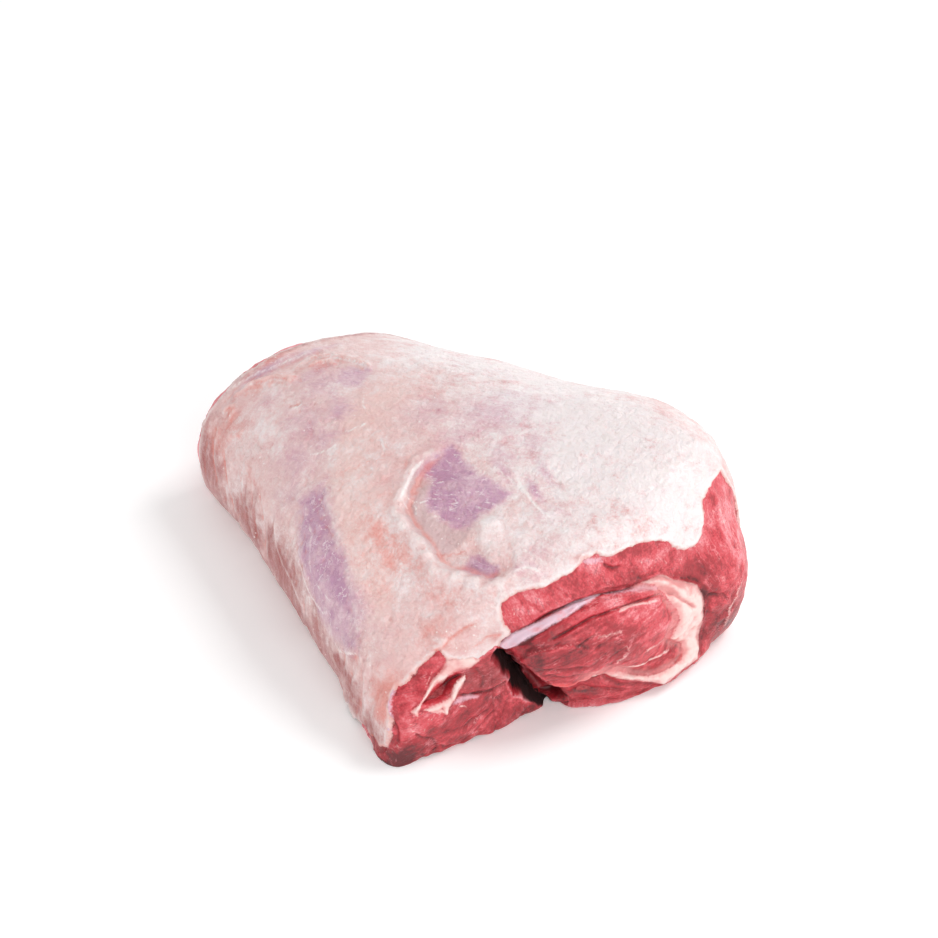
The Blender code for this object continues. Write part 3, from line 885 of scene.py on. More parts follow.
@dataclass
class LegForms:
    """The forms that both the cover and the cut face follow."""

    rear_cut: float = 99.0
    ragged: float = 1.0
    gap_way: Point = (0.25, 0.968, 0.0)

    def meat_depth(self, surface: Surface) -> np.ndarray:
        """How far inside the front cut face each point is, in millimetres, with its torn edge."""
        p = surface.rest
        depth = HEM.depth(surface)
        side = -86.0 + 13.0 * ease(8.0, 62.0, p[:, 2]) + 1.5 * grain_noise(p, 12.0, 3) - p[:, 1]
        depth = np.where(p[:, 0] > 66.0, np.minimum(depth, side + 7.0 * ease(80.0, 66.0, p[:, 0])), depth)
        under = ease(-0.35, -0.75, surface.rest_normals[:, 2])
        depth = np.where(under > 0.5, np.minimum(-52.0 - p[:, 1], 12.0) + 3.0 * rumple(p, 14.0, 5), depth)
        return depth + self.ragged * (0.8 * grain_noise(p, 3.8, 21) + 0.6 * grain_noise(p, 1.9, 22))

    def rear_depth(self, surface: Surface) -> np.ndarray:
        """How far inside the rear cut face each point is, in millimetres."""
        p = surface.rest
        edge = self.rear_cut + 2.5 * ease(-25.0, 0.0, p[:, 0]) + 1.4 * rumple(p, 18.0, 12)
        return p[:, 1] - edge + 0.5 * grain_noise(p, 3.0, 13)

    def gap_depth(self, surface: Surface) -> np.ndarray:
        """How deep the gap between the heel and the rolled muscle is at each point, in millimetres."""
        ragged = 0.7 * grain_noise(surface.rest, 3.5, 64)
        deep = 11.0 * ease(-0.6, 2.5, GAP.depth(surface) + ragged)
        deep += 6.0 * ease(-1.0, 2.0, GAP_CORE.depth(surface) + ragged)
        return deep * ease(-62.0, -70.0, surface.rest[:, 1])

    def swell(self, surface: Surface) -> np.ndarray:
        """How far the heel's lowest corner bulges outward at each point, in millimetres."""
        there = Haze((-90.0, -84.0, -2.0), (11.0, 12.0, 11.0), 1.0).amount(surface)
        return np.array((-3.5, -4.5, -2.5)) * there[:, None]

    def inset(self, depth: np.ndarray) -> np.ndarray:
        """How far the cut meat lies below the fat, in millimetres."""
        return 0.55 + 5.8 * ease(-0.6, -5.0, depth)


@dataclass
class Studio:
    """A pale floor and sky, soft lamps and the camera.

    Args:
        aim: the point that the camera looks at, in metres.
        azimuth: the camera's turn about the leg, in degrees.
        elevation: its height above the horizon, in degrees.
        distance: its distance from the aim, in metres.
        lens: its focal length, in millimetres.
    """

    aim: Point = (-0.0076, -0.0038, 0.0600)
    azimuth: float = -27.9
    elevation: float = 40.0
    distance: float = 0.948
    lens: float = 85.0
    floor_side: float = 40.0
    wall: float = 4.0
    sky: float = 0.56

    def camera(self) -> None:
        """Makes the camera and gives it to the scene."""
        turn, rise = math.radians(self.azimuth), math.radians(self.elevation)
        back = Vector((math.sin(turn) * math.cos(rise), -math.cos(turn) * math.cos(rise), math.sin(rise)))
        data = bpy.data.cameras.new("camera")
        data.lens, data.sensor_width = self.lens, 36.0
        made = bpy.data.objects.new("camera", data)
        made.location = Vector(self.aim) + back * self.distance
        made.rotation_euler = back.to_track_quat("Z", "Y").to_euler()
        bpy.context.scene.collection.objects.link(made)
        bpy.context.scene.camera = made

    def stage(self, name: str, shape: bmesh.types.BMesh, material: bpy.types.Material) -> None:
        """Puts one stage piece at the leg's lowest level."""
        bmesh.ops.translate(shape, verts=shape.verts, vec=(0.0, 0.0, CAD_BOX[0].z))
        mesh = bpy.data.meshes.new(name)
        shape.to_mesh(mesh)
        shape.free()
        mesh.materials.append(material)
        made = bpy.data.objects.new(name, mesh)
        bpy.context.scene.collection.objects.link(made)

    def floor(self) -> None:
        """Lays the floor under the leg, as bright far off as it is under the lamps."""
        shape = bmesh.new()
        bmesh.ops.create_grid(shape, x_segments=1, y_segments=1, size=self.floor_side / 2)
        g = Graph("pale_floor")
        away = g.node("ShaderNodeVectorMath", {"operation": "LENGTH"}, {0: g.place()}, out=1)
        far = g.blend((0.2, 0.2, 0.2), (1.0, 1.0, 1.0), away.step(450.0, 1300.0))
        g.surface(colour=srgb(255, 255, 255), roughness=0.9, specular=0.1, shine=0.45, shine_colour=far)
        self.stage("floor", shape, g.material)

    def backdrop(self) -> None:
        """Stands a low white wall round the edge of the floor."""
        shape = bmesh.new()
        radius = self.floor_side / 2 - 0.5
        bmesh.ops.create_cone(shape, segments=64, radius1=radius, radius2=radius, depth=self.wall)
        bmesh.ops.translate(shape, verts=shape.verts, vec=(0.0, 0.0, self.wall / 2))
        g = Graph("pale_wall")
        g.surface(colour=srgb(255, 255, 255), roughness=0.9, specular=0.1, shine=1.0)
        self.stage("backdrop", shape, g.material)

    def lamp(self, name: str, place: Point, side: float, power: float) -> None:
        """Hangs one square soft lamp that looks at the leg."""
        data = bpy.data.lights.new(name, "AREA")
        data.shape, data.size, data.energy = "SQUARE", side, power
        made = bpy.data.objects.new(name, data)
        made.location = place
        made.rotation_euler = (Vector(place) - Vector(self.aim)).to_track_quat("Z", "Y").to_euler()
        bpy.context.scene.collection.objects.link(made)

    def build(self) -> None:
        """Makes the stage, the light and the camera."""
        self.floor()
        self.backdrop()
        self.lamp("key_lamp", (0.95, -0.1, 1.4), 0.6, 11.3)
        self.lamp("front_lamp", (-0.15, -1.5, 1.1), 0.9, 6.3)
        self.lamp("spark_lamp", (-0.45, -1.1, 1.25), 0.12, 1.6)
        world = bpy.data.worlds.new("sky")
        world.use_nodes = True
        background = world.node_tree.nodes["Background"]
        background.inputs["Color"].default_value = (1.0, 1.0, 1.0, 1.0)
        background.inputs["Strength"].default_value = self.sky
        bpy.context.scene.world = world
        bpy.context.scene.view_settings.view_transform = "Standard"
        self.camera()


# ---------------------------------------------------------------- shader arithmetic


def srgb(red: float, green: float, blue: float) -> Colour:
    """A display colour from 0 to 255 as the linear colour that shaders use."""
    return tuple(
        v / 12.92 if v <= 0.04045 else ((v + 0.055) / 1.055) ** 2.4
        for v in (red / 255.0, green / 255.0, blue / 255.0)
    )


class Value:
    """A shader socket that takes arithmetic."""

    def __init__(self, graph: "Graph", socket: bpy.types.NodeSocket) -> None:
        """Wraps one output of the graph."""
        self.graph, self.socket = graph, socket

    def _math(self, operation: str, *parts: Any) -> "Value":
        """One Math node."""
        return self.graph.node("ShaderNodeMath", {"operation": operation}, dict(enumerate(parts)))

    def __add__(self, other: Any) -> "Value":
        """The sum."""
        return self._math("ADD", self, other)

    __radd__ = __add__

    def __sub__(self, other: Any) -> "Value":
        """The difference."""
        return self._math("SUBTRACT", self, other)

    def __rsub__(self, other: Any) -> "Value":
        """The difference, from a number."""
        return self._math("SUBTRACT", other, self)

    def __mul__(self, other: Any) -> "Value":
        """The product."""
        return self._math("MULTIPLY", self, other)

    __rmul__ = __mul__

    def __truediv__(self, other: Any) -> "Value":
        """The quotient."""
        return self._math("DIVIDE", self, other)

    def __neg__(self) -> "Value":
        """The opposite."""
        return self._math("MULTIPLY", self, -1.0)

    def __abs__(self) -> "Value":
        """The size without its sign."""
        return self._math("ABSOLUTE", self)

    def at_least(self, other: Any) -> "Value":
        """The larger of the two."""
        return self._math("MAXIMUM", self, other)

    def at_most(self, other: Any) -> "Value":
        """The smaller of the two."""
        return self._math("MINIMUM", self, other)

    def power(self, exponent: float) -> "Value":
        """The power."""
        return self._math("POWER", self, exponent)

    def step(self, low: float, high: float) -> "Value":
        """A smooth step from 0 at low to 1 at high, which may be the smaller."""
        ends = {"From Min": min(low, high), "From Max": max(low, high)}
        ends |= {"To Min": float(low > high), "To Max": float(low < high)}
        return self.graph.node(
            "ShaderNodeMapRange", {"interpolation_type": "SMOOTHSTEP"}, {"Value": self, **ends}
        )


class Graph:
    """One material and the means to build its nodes."""

    def __init__(self, name: str) -> None:
        """Makes an empty material."""
        self.material = bpy.data.materials.new(name)
        self.material.use_nodes = True
        self.tree = self.material.node_tree
        self.tree.nodes.clear()

    def node(
        self, kind: str, settings: dict[str, Any] | None = None, sockets: dict[Any, Any] | None = None, out: int = 0
    ) -> Value:
        """Makes one node.

        Args:
            kind: its type.
            settings: what is set on the node before its sockets.
            sockets: values or links, by socket name or number.
            out: which output is returned.

        Returns:
            That output.
        """
        made = self.tree.nodes.new(kind)
        for key, value in (settings or {}).items():
            setattr(made, key, value)
        for key, value in (sockets or {}).items():
            if isinstance(value, Value):
                self.tree.links.new(value.socket, made.inputs[key])
            else:
                made.inputs[key].default_value = value
        return Value(self, made.outputs[out]) if made.outputs else None

    def place(self) -> Value:
        """The object's own coordinates, in millimetres."""
        own = self.node("ShaderNodeTexCoord", out=3)
        return self.scaled(own, (1.0 / MM,) * 3)

    def scaled(self, vector: Value, by: Point) -> Value:
        """A vector with each part multiplied."""
        return self.node("ShaderNodeVectorMath", {"operation": "MULTIPLY"}, {0: vector, 1: by})

    def shifted(self, vector: Value, other: Value) -> Value:
        """The sum of two vectors."""
        return self.node("ShaderNodeVectorMath", {"operation": "ADD"}, {0: vector, 1: other})

    def stored(self, name: str, vector: bool = False) -> Value:
        """A value or a vector kept on the mesh."""
        return self.node("ShaderNodeAttribute", {"attribute_name": name}, out=1 if vector else 2)

    def noise(self, vector: Value, size: float, detail: float = 2.0, rough: float = 0.5, warp: float = 0.0) -> Value:
        """Soft noise from 0 to 1 with lumps of a size in millimetres."""
        sockets = {"Vector": vector, "Scale": 1.0 / size, "Detail": detail, "Roughness": rough, "Distortion": warp}
        return self.node("ShaderNodeTexNoise", {}, sockets)

    def warped(self, vector: Value, size: float, amount: float) -> Value:
        """Coordinates pushed about by noise."""
        push = self.node("ShaderNodeTexNoise", {}, {"Vector": vector, "Scale": 1.0 / size, "Detail": 1.0}, out=1)
        centred = self.node("ShaderNodeVectorMath", {"operation": "SUBTRACT"}, {0: push, 1: (0.5, 0.5, 0.5)})
        return self.shifted(vector, self.scaled(centred, (amount,) * 3))

    def cracks(self, vector: Value, size: float) -> Value:
        """Distance from the borders of irregular cells of a size in millimetres."""
        return self.node(
            "ShaderNodeTexVoronoi", {"feature": "DISTANCE_TO_EDGE"}, {"Vector": vector, "Scale": 1.0 / size}
        )

    def spots(self, vector: Value, size: float) -> Value:
        """Distance from points strewn a size apart."""
        return self.node("ShaderNodeTexVoronoi", {}, {"Vector": vector, "Scale": 1.0 / size, "Randomness": 1.0})

    def blend(self, first: Any, second: Any, share: Any, mode: str = "MIX") -> Value:
        """A mix of two colours."""
        ends = [value if isinstance(value, Value) else (*value, 1.0) for value in (first, second)]
        return self.node(
            "ShaderNodeMix",
            {"data_type": "RGBA", "blend_type": mode, "clamp_factor": True},
            {0: share, 6: ends[0], 7: ends[1]},
            out=2,
        )

    def bumped(self, height: Value, depth: float, strength: float) -> Value:
        """A normal from a height from 0 to 1 that stands for a depth in millimetres."""
        return self.node("ShaderNodeBump", {}, {"Height": height, "Distance": depth * MM, "Strength": strength})

    def surface(
        self,
        colour: Any,
        roughness: Any,
        normal: Value | None = None,
        specular: float = 0.5,
        coat: Any = 0.0,
        soft: float = 0.0,
        glow: Colour = (1.0, 0.3, 0.2),
        soft_depth: float = 3.0,
        shine: float = 0.0,
        shine_colour: Any = (1.0, 1.0, 1.0),
    ) -> None:
        """Ends the graph in the surface shader.

        Args:
            colour: the base colour.
            roughness: from 0 to 1.
            normal: the bumped normal.
            specular: the strength of the shine.
            coat: the strength of the wet film.
            soft: how much light goes through the surface.
            glow: how far each colour of light goes, as shares.
            soft_depth: how far that light goes, in millimetres.
            shine: how much light it gives off by itself.
            shine_colour: the colour of that light.
        """
        sockets: dict[Any, Any] = {
            "Base Color": colour if isinstance(colour, Value) else (*colour, 1.0),
            "Roughness": roughness,
            "Specular IOR Level": specular,
            "Coat Weight": coat,
            "Coat Roughness": 0.16,
            "Subsurface Weight": soft,
            "Subsurface Radius": glow,
            "Subsurface Scale": soft_depth * MM,
            "Emission Color": shine_colour if isinstance(shine_colour, Value) else (*shine_colour, 1.0),
            "Emission Strength": shine,
        }
        if normal is not None:
            sockets["Normal"] = normal
        shader = self.node("ShaderNodeBsdfPrincipled", {}, sockets)
        self.node("ShaderNodeOutputMaterial", {}, {"Surface": shader})


# ---------------------------------------------------------------- finishes


@dataclass(frozen=True)
class FatFinish:
    """Moist cream fat with thin purple film, blushes, wrinkles and small vessels."""

    cream: Colour = srgb(247, 235, 235)
    blush: Colour = srgb(234, 194, 191)
    peach: Colour = srgb(246, 209, 202)
    film: Colour = srgb(216, 172, 190)
    film_deep: Colour = srgb(196, 146, 176)
    smoky: Colour = srgb(220, 188, 188)
    flush: Colour = srgb(232, 134, 120)
    ruddy: Colour = srgb(164, 72, 68)
    vessel: Colour = srgb(176, 80, 88)
    white: Colour = srgb(255, 246, 244)
    meat: Colour = srgb(140, 34, 42)
    meat_light: Colour = srgb(196, 84, 86)

    def along(self, g: Graph, stretch: float, size: float, detail: float, rough: float) -> Value:
        """Noise drawn out along the wrinkles, which run one way on the top and another on the walls."""
        top, wall = (
            g.noise(g.scaled(g.stored(name, vector=True), (stretch, 1.0, 1.0)), size, detail, rough)
            for name in ("run_top", "run_wall")
        )
        return top + (wall - top) * g.stored("walls")

    def build(self) -> bpy.types.Material:
        """Makes the material."""
        g = Graph("lamb_fat")
        at = g.place()
        bent = g.warped(at, 9.0, 5.0)
        broad = g.noise(bent, 24.0, 3.0, 0.55)
        middle = g.noise(bent, 6.0, 4.0, 0.62)
        fine = g.noise(at, 1.3, 3.0, 0.7)
        streaks = self.along(g, 0.16, 1.6, 4.0, 0.65)
        wide_streaks = self.along(g, 0.22, 5.5, 3.0, 0.6)
        speck = g.noise(at, 0.8, 2.0, 0.6)
        mottle = (broad - 0.5) * 1.3 + (middle - 0.5) * 1.2 + (wide_streaks - 0.5) * 0.5
        mottle = mottle + (streaks - 0.5) * 0.35 + (fine - 0.5) * 0.6 + (speck - 0.5) * 0.6
        # The blend from cream to blush: partly the fat's own tone, partly painted shade.
        shade = g.stored("shade")
        colour = g.blend(self.cream, self.blush, (shade + mottle * 1.1).step(-0.1, 1.1))
        colour = g.blend(colour, self.peach, (g.stored("peach") + mottle * 0.8).step(0.1, 1.2) * 0.6)
        # Red-brown low on the walls: partly the meat under thin fat, partly painted shade.
        ruddy = (g.stored("ruddy") + mottle * 0.5 + (wide_streaks - 0.5) * 0.9).step(0.1, 1.2) * 0.95
        colour = g.blend(colour, self.ruddy, ruddy)
        smoky = (g.stored("smoky") + (middle - 0.5) * 0.7 + (fine - 0.5) * 0.4).step(0.15, 0.9)
        colour = g.blend(colour, self.smoky, smoky)
        film = g.stored("film")
        veil = film + (middle - 0.5) * 0.9 + (streaks - 0.5) * 0.7 + (fine - 0.5) * 0.5 + (speck - 0.5) * 0.5
        veil = veil + (broad - 0.5) * 0.6
        deep = (film + (middle - 0.5) * 1.2 + (wide_streaks - 0.5) * 0.9 + (broad - 0.5) * 0.9).step(0.5, 1.2)
        colour = g.blend(colour, g.blend(self.film, self.film_deep, deep), veil.step(0.0, 1.15) * 0.95)
        flush = g.stored("flush") + mottle * 1.0
        colour = g.blend(colour, self.flush, flush.step(0.15, 1.25) * 0.7)
        web = abs(self.along(g, 0.3, 3.6, 3.0, 0.6) - 0.5).step(0.03, 0.0)
        milky = g.stored("milky")
        colour = g.blend(colour, self.white, web * middle.step(0.45, 0.6) * (0.1 + 0.5 * film))
        colour = g.blend(colour, self.white, (milky + (fine - 0.5) * 0.8).step(0.3, 0.85) * 0.7)
        flecks = g.spots(bent, 4.5).step(0.13, 0.05) * broad.step(0.42, 0.6)
        colour = g.blend(colour, self.white, flecks * 0.7)
        pits = g.spots(at, 4.2).step(0.09, 0.03) * film.step(0.35, 0.6)
        colour = g.blend(colour, self.vessel, pits * 0.6)
        branches = g.cracks(g.warped(at, 12.0, 9.0), 19.0).step(0.022, 0.0)
        colour = g.blend(colour, self.vessel, branches * g.noise(at, 21.0).step(0.55, 0.68) * 0.07)
        # Hollows flushed pinker, partly painted shade; ridges paler, a painted highlight.
        dip = g.stored("cavity")
        colour = g.blend(colour, self.flush, dip.step(0.05, 0.7) * 0.55)
        colour = g.blend(colour, self.white, dip.step(-0.08, -0.6) * 0.4)
        meat_depth = g.stored("meat") + (fine - 0.5) * 1.4 + (middle - 0.5) * 1.0
        meat = g.blend(self.meat, self.meat_light, (streaks * 0.6 + middle * 0.5).step(0.4, 0.75))
        meat = g.blend(meat, self.blush, g.spots(at, 4.0).step(0.16, 0.05) * 0.5)
        colour = g.blend(colour, self.flush, meat_depth.step(-1.6, -0.1) * 0.5)
        colour = g.blend(colour, meat, meat_depth.step(-0.25, 0.25))
        wrinkles = self.along(g, 0.4, 3.4, 4.0, 0.55)
        grit = g.noise(bent, 1.5, 4.0, 0.7)
        pads = g.spots(g.warped(at, 3.0, 2.0), 2.6)
        height = wrinkles * 0.5 + grit * 0.9 + 0.2 * streaks + 0.25 * fine - pads * 0.5
        normal = g.bumped(height, 1.5, 0.8)
        rough = 0.42 + 0.25 * (middle - 0.5) - veil * 0.12
        g.surface(colour, rough, normal, specular=0.42, coat=0.26, soft=0.12, glow=(1.0, 0.45, 0.35), soft_depth=2.0)
        return g.material


@dataclass(frozen=True)
class MeatFinish:
    """Moist red muscle with fibres, pale threads, fat and silverskin."""

    deep: Colour = srgb(96, 12, 20)
    red: Colour = srgb(168, 38, 48)
    bright: Colour = srgb(207, 68, 78)
    pink: Colour = srgb(234, 143, 150)
    warm: Colour = srgb(226, 84, 84)
    brown: Colour = srgb(132, 58, 58)
    fat: Colour = srgb(242, 212, 206)
    fat_pink: Colour = srgb(226, 152, 150)
    silver: Colour = srgb(228, 202, 216)
    # Painted shade: the near black of the deep gap.
    gap_shade_black: Colour = srgb(30, 0, 1)

    def build(self) -> bpy.types.Material:
        """Makes the material."""
        g = Graph("lamb_meat")
        at = g.place()
        grain = g.stored("grain", vector=True)
        fine = g.noise(at, 0.9, 2.0, 0.6)
        middle = g.noise(g.warped(at, 8.0, 5.0), 6.5, 4.0, 0.5)
        broad = g.noise(g.warped(at, 14.0, 8.0), 17.0, 3.0, 0.5)
        fibres = g.noise(g.scaled(grain, (0.14, 1.0, 1.0)), 1.1, 3.0, 0.6)
        bundles = g.noise(g.scaled(grain, (0.2, 1.0, 1.0)), 4.2, 3.0, 0.5)
        # Painted light: the stored light patches lift the meat's tone, and bring out its pale threads and ticks below.
        light, painted_shade, dip = g.stored("light"), g.stored("painted_shade"), g.stored("cavity")
        tone = (fibres - 0.5) * 0.6 + (bundles - 0.5) * 0.6 + (middle - 0.5) * 0.65 + (broad - 0.5) * 0.75
        # Painted shade: the stored darker patches lower the tone.
        tone = tone + (fine - 0.5) * 0.5 + light * 0.36 - painted_shade * 0.55 - dip * 0.6 + 0.52
        colour = g.blend(self.deep, self.red, tone.step(-0.05, 0.42))
        colour = g.blend(colour, self.bright, tone.step(0.4, 0.68))
        colour = g.blend(colour, self.pink, tone.step(0.66, 1.1))
        worn = (g.stored("brown") + (middle - 0.5) * 1.2 + (fibres - 0.5) * 1.2).step(0.1, 1.2) * 0.5
        colour = g.blend(colour, self.brown, worn)
        threads = abs(g.noise(g.scaled(grain, (0.15, 0.8, 0.8)), 2.4, 3.0, 0.6) - 0.5).step(0.03, 0.0)
        colour = g.blend(colour, self.pink, threads * (middle + light * 0.15).step(0.46, 0.7) * 0.6)
        ticks = g.noise(g.scaled(grain, (0.4, 1.0, 1.0)), 0.8, 2.0, 0.6).step(0.6, 0.72)
        patchy = (middle * 0.6 + broad * 0.6 + light * 0.15).step(0.6, 0.85)
        colour = g.blend(colour, self.fat, ticks * patchy * 0.7)
        lines = abs(g.noise(g.scaled(grain, (0.12, 0.9, 0.9)), 3.0, 2.0, 0.5) - 0.52).step(0.016, 0.0)
        colour = g.blend(colour, self.deep, lines * broad.step(0.38, 0.6) * 0.45)
        warm = g.stored("warm")
        colour = g.blend(colour, self.warm, (warm + (fine - 0.5) * 0.6).step(0.3, 0.9) * 0.7)
        # Darker red in the hollows, here and in the tone above: partly blood pooling in them, partly painted shade.
        colour = g.blend(colour, self.deep, dip.step(0.1, 0.9) * 0.8)
        ragged = (fine - 0.5) * 1.2 + (middle - 0.5) * 0.8
        white = g.stored("white") + (fine - 0.5) * 0.9 + (middle - 0.5) * 0.5
        colour = g.blend(colour, self.fat, white.step(0.35, 0.85) * 0.75)
        silver = g.stored("silver") + ragged
        sheen = g.blend(self.silver, self.pink, (fibres * 0.5 + middle * 0.6).step(0.52, 0.75) * 0.7)
        colour = g.blend(colour, sheen, silver.step(-0.6, 0.5) * 0.9)
        haze = (g.stored("sheen") + (middle - 0.5) * 1.2 + (fine - 0.5) * 0.8).step(0.2, 1.0)
        colour = g.blend(colour, self.silver, haze * 0.55)
        fat_depth = g.stored("fat") + ragged
        halo = (g.stored("halo") + (bundles - 0.5) * 1.2 + (middle - 0.5) * 1.0).step(0.1, 1.1)
        colour = g.blend(colour, self.fat_pink, halo * 0.6)
        edge = fat_depth.step(2.6, 0.2)
        # Fat in the meat is pinker in the hollows, partly painted shade.
        pinkness = middle * 0.9 + (bundles - 0.5) * 0.8 + dip * 0.7 + warm * 0.6 + edge * 0.35 + halo * 0.3
        pinkness = pinkness.step(0.3, 1.05)
        colour = g.blend(colour, g.blend(self.fat, self.fat_pink, pinkness), fat_depth.step(-0.45, 0.45))
        # Painted shade: the deep gap between heel and roll is near black; it is also rougher and has no wet coat.
        colour = g.blend(colour, self.gap_shade_black, g.stored("dark").step(0.05, 0.8))
        grit = g.noise(at, 2.2, 4.0, 0.62)
        height = fibres * 0.35 + bundles * 0.6 + grit * 0.8
        normal = g.bumped(height, 1.3, 0.6)
        dark = g.stored("dark")
        rough = 0.36 + 0.3 * (middle - 0.45) + fibres * 0.06 + dark * 0.5
        g.surface(colour, rough, normal, specular=0.45, coat=(1.0 - dark) * 0.26, soft=0.06, glow=(1.0, 0.2, 0.15), soft_depth=1.5)
        return g.material


# ---------------------------------------------------------------- pieces


@dataclass
class Carcass:
    """Makes even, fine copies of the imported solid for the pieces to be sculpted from."""

    weld: float = 1e-6

    def copy(self, name: str, voxel: float, box: tuple[Point, Point] | None = None) -> bpy.types.Object:
        """An evenly meshed copy.

        Args:
            name: the new piece's name.
            voxel: the length of its faces, in metres.
            box: the low and high corners that it is cut to, in millimetres.

        Returns:
            The new object, at the origin.
        """
        shape = bmesh.new()
        shape.from_mesh(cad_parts[NODE].data)
        bmesh.ops.remove_doubles(shape, verts=shape.verts, dist=self.weld)
        if box is not None:
            for axis, (low, high) in enumerate(zip(*box)):
                for sign, at in ((-1.0, low), (1.0, high)):
                    normal = Vector((0.0, 0.0, 0.0))
                    normal[axis] = sign
                    cut = bmesh.ops.bisect_plane(
                        shape,
                        geom=[*shape.verts, *shape.edges, *shape.faces],
                        plane_co=Vector([at * MM if i == axis else 0.0 for i in range(3)]),
                        plane_no=normal,
                        clear_outer=True,
                    )
                    rim = [e for e in cut["geom_cut"] if isinstance(e, bmesh.types.BMEdge)]
                    if rim:
                        bmesh.ops.holes_fill(shape, edges=rim)
        bmesh.ops.triangulate(shape, faces=shape.faces)
        bmesh.ops.recalc_face_normals(shape, faces=shape.faces)
        mesh = bpy.data.meshes.new(name)
        shape.to_mesh(mesh)
        shape.free()
        made = bpy.data.objects.new(name, mesh)
        bpy.context.scene.collection.objects.link(made)
        even = made.modifiers.new("even", "REMESH")
        even.mode, even.voxel_size = "VOXEL", voxel
        done = bpy.data.meshes.new_from_object(made.evaluated_get(bpy.context.evaluated_depsgraph_get()))
        made.modifiers.clear()
        made.data = done
        bpy.data.meshes.remove(mesh)
        return made


def finish_piece(piece: bpy.types.Object, surface: Surface, material: bpy.types.Material) -> None:
    """Writes the sculpted shape and gives the piece its finish and its body."""
    surface.write()
    piece.data.materials.clear()
    piece.data.materials.append(material)
    piece.data.polygons.foreach_set("use_smooth", [True] * len(piece.data.polygons))
    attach(piece, BODY)
    LOG.info("%s: %d faces", piece.name, len(piece.data.polygons))


def keep_meat_marks(surface: Surface, folds: tuple[Fold, ...], **marks: np.ndarray) -> None:
    """Stores what the meat's material reads.

    Args:
        surface: the piece of meat.
        folds: its folds, which bring their own pale and flushed lines.
        marks: any of fat and silver as depths in millimetres, and of dark, brown, sheen and halo from 0 to 1; dark is
            painted shade, near black, in the gap between heel and roll.
    """
    none = np.zeros(len(surface.points))
    for name in ("fat", "silver"):
        surface.keep(name, np.clip(marks.get(name, none - FAR), -8.0, 8.0))
    for name in ("dark", "brown", "sheen", "halo"):
        surface.keep(name, marks.get(name, none))
    shapes = [(fold, fold.shape(surface)[1]) for fold in folds]
    surface.keep("white", np.max([fold.white * there for fold, there in shapes], axis=0))
    surface.keep("warm", np.max([fold.warm * there for fold, there in shapes], axis=0))
    # Painted light: the lighter patches, which the material adds to the meat's tone.
    surface.keep("light", np.max([haze.amount(surface) for haze in MEAT_PAINTED_LIGHT], axis=0))
    # Painted shade: the darker patches, which the material takes off the meat's tone.
    surface.keep("painted_shade", np.max([haze.amount(surface) for haze in MEAT_PAINTED_SHADE], axis=0))
    surface.keep("cavity", surface.cavity(12))


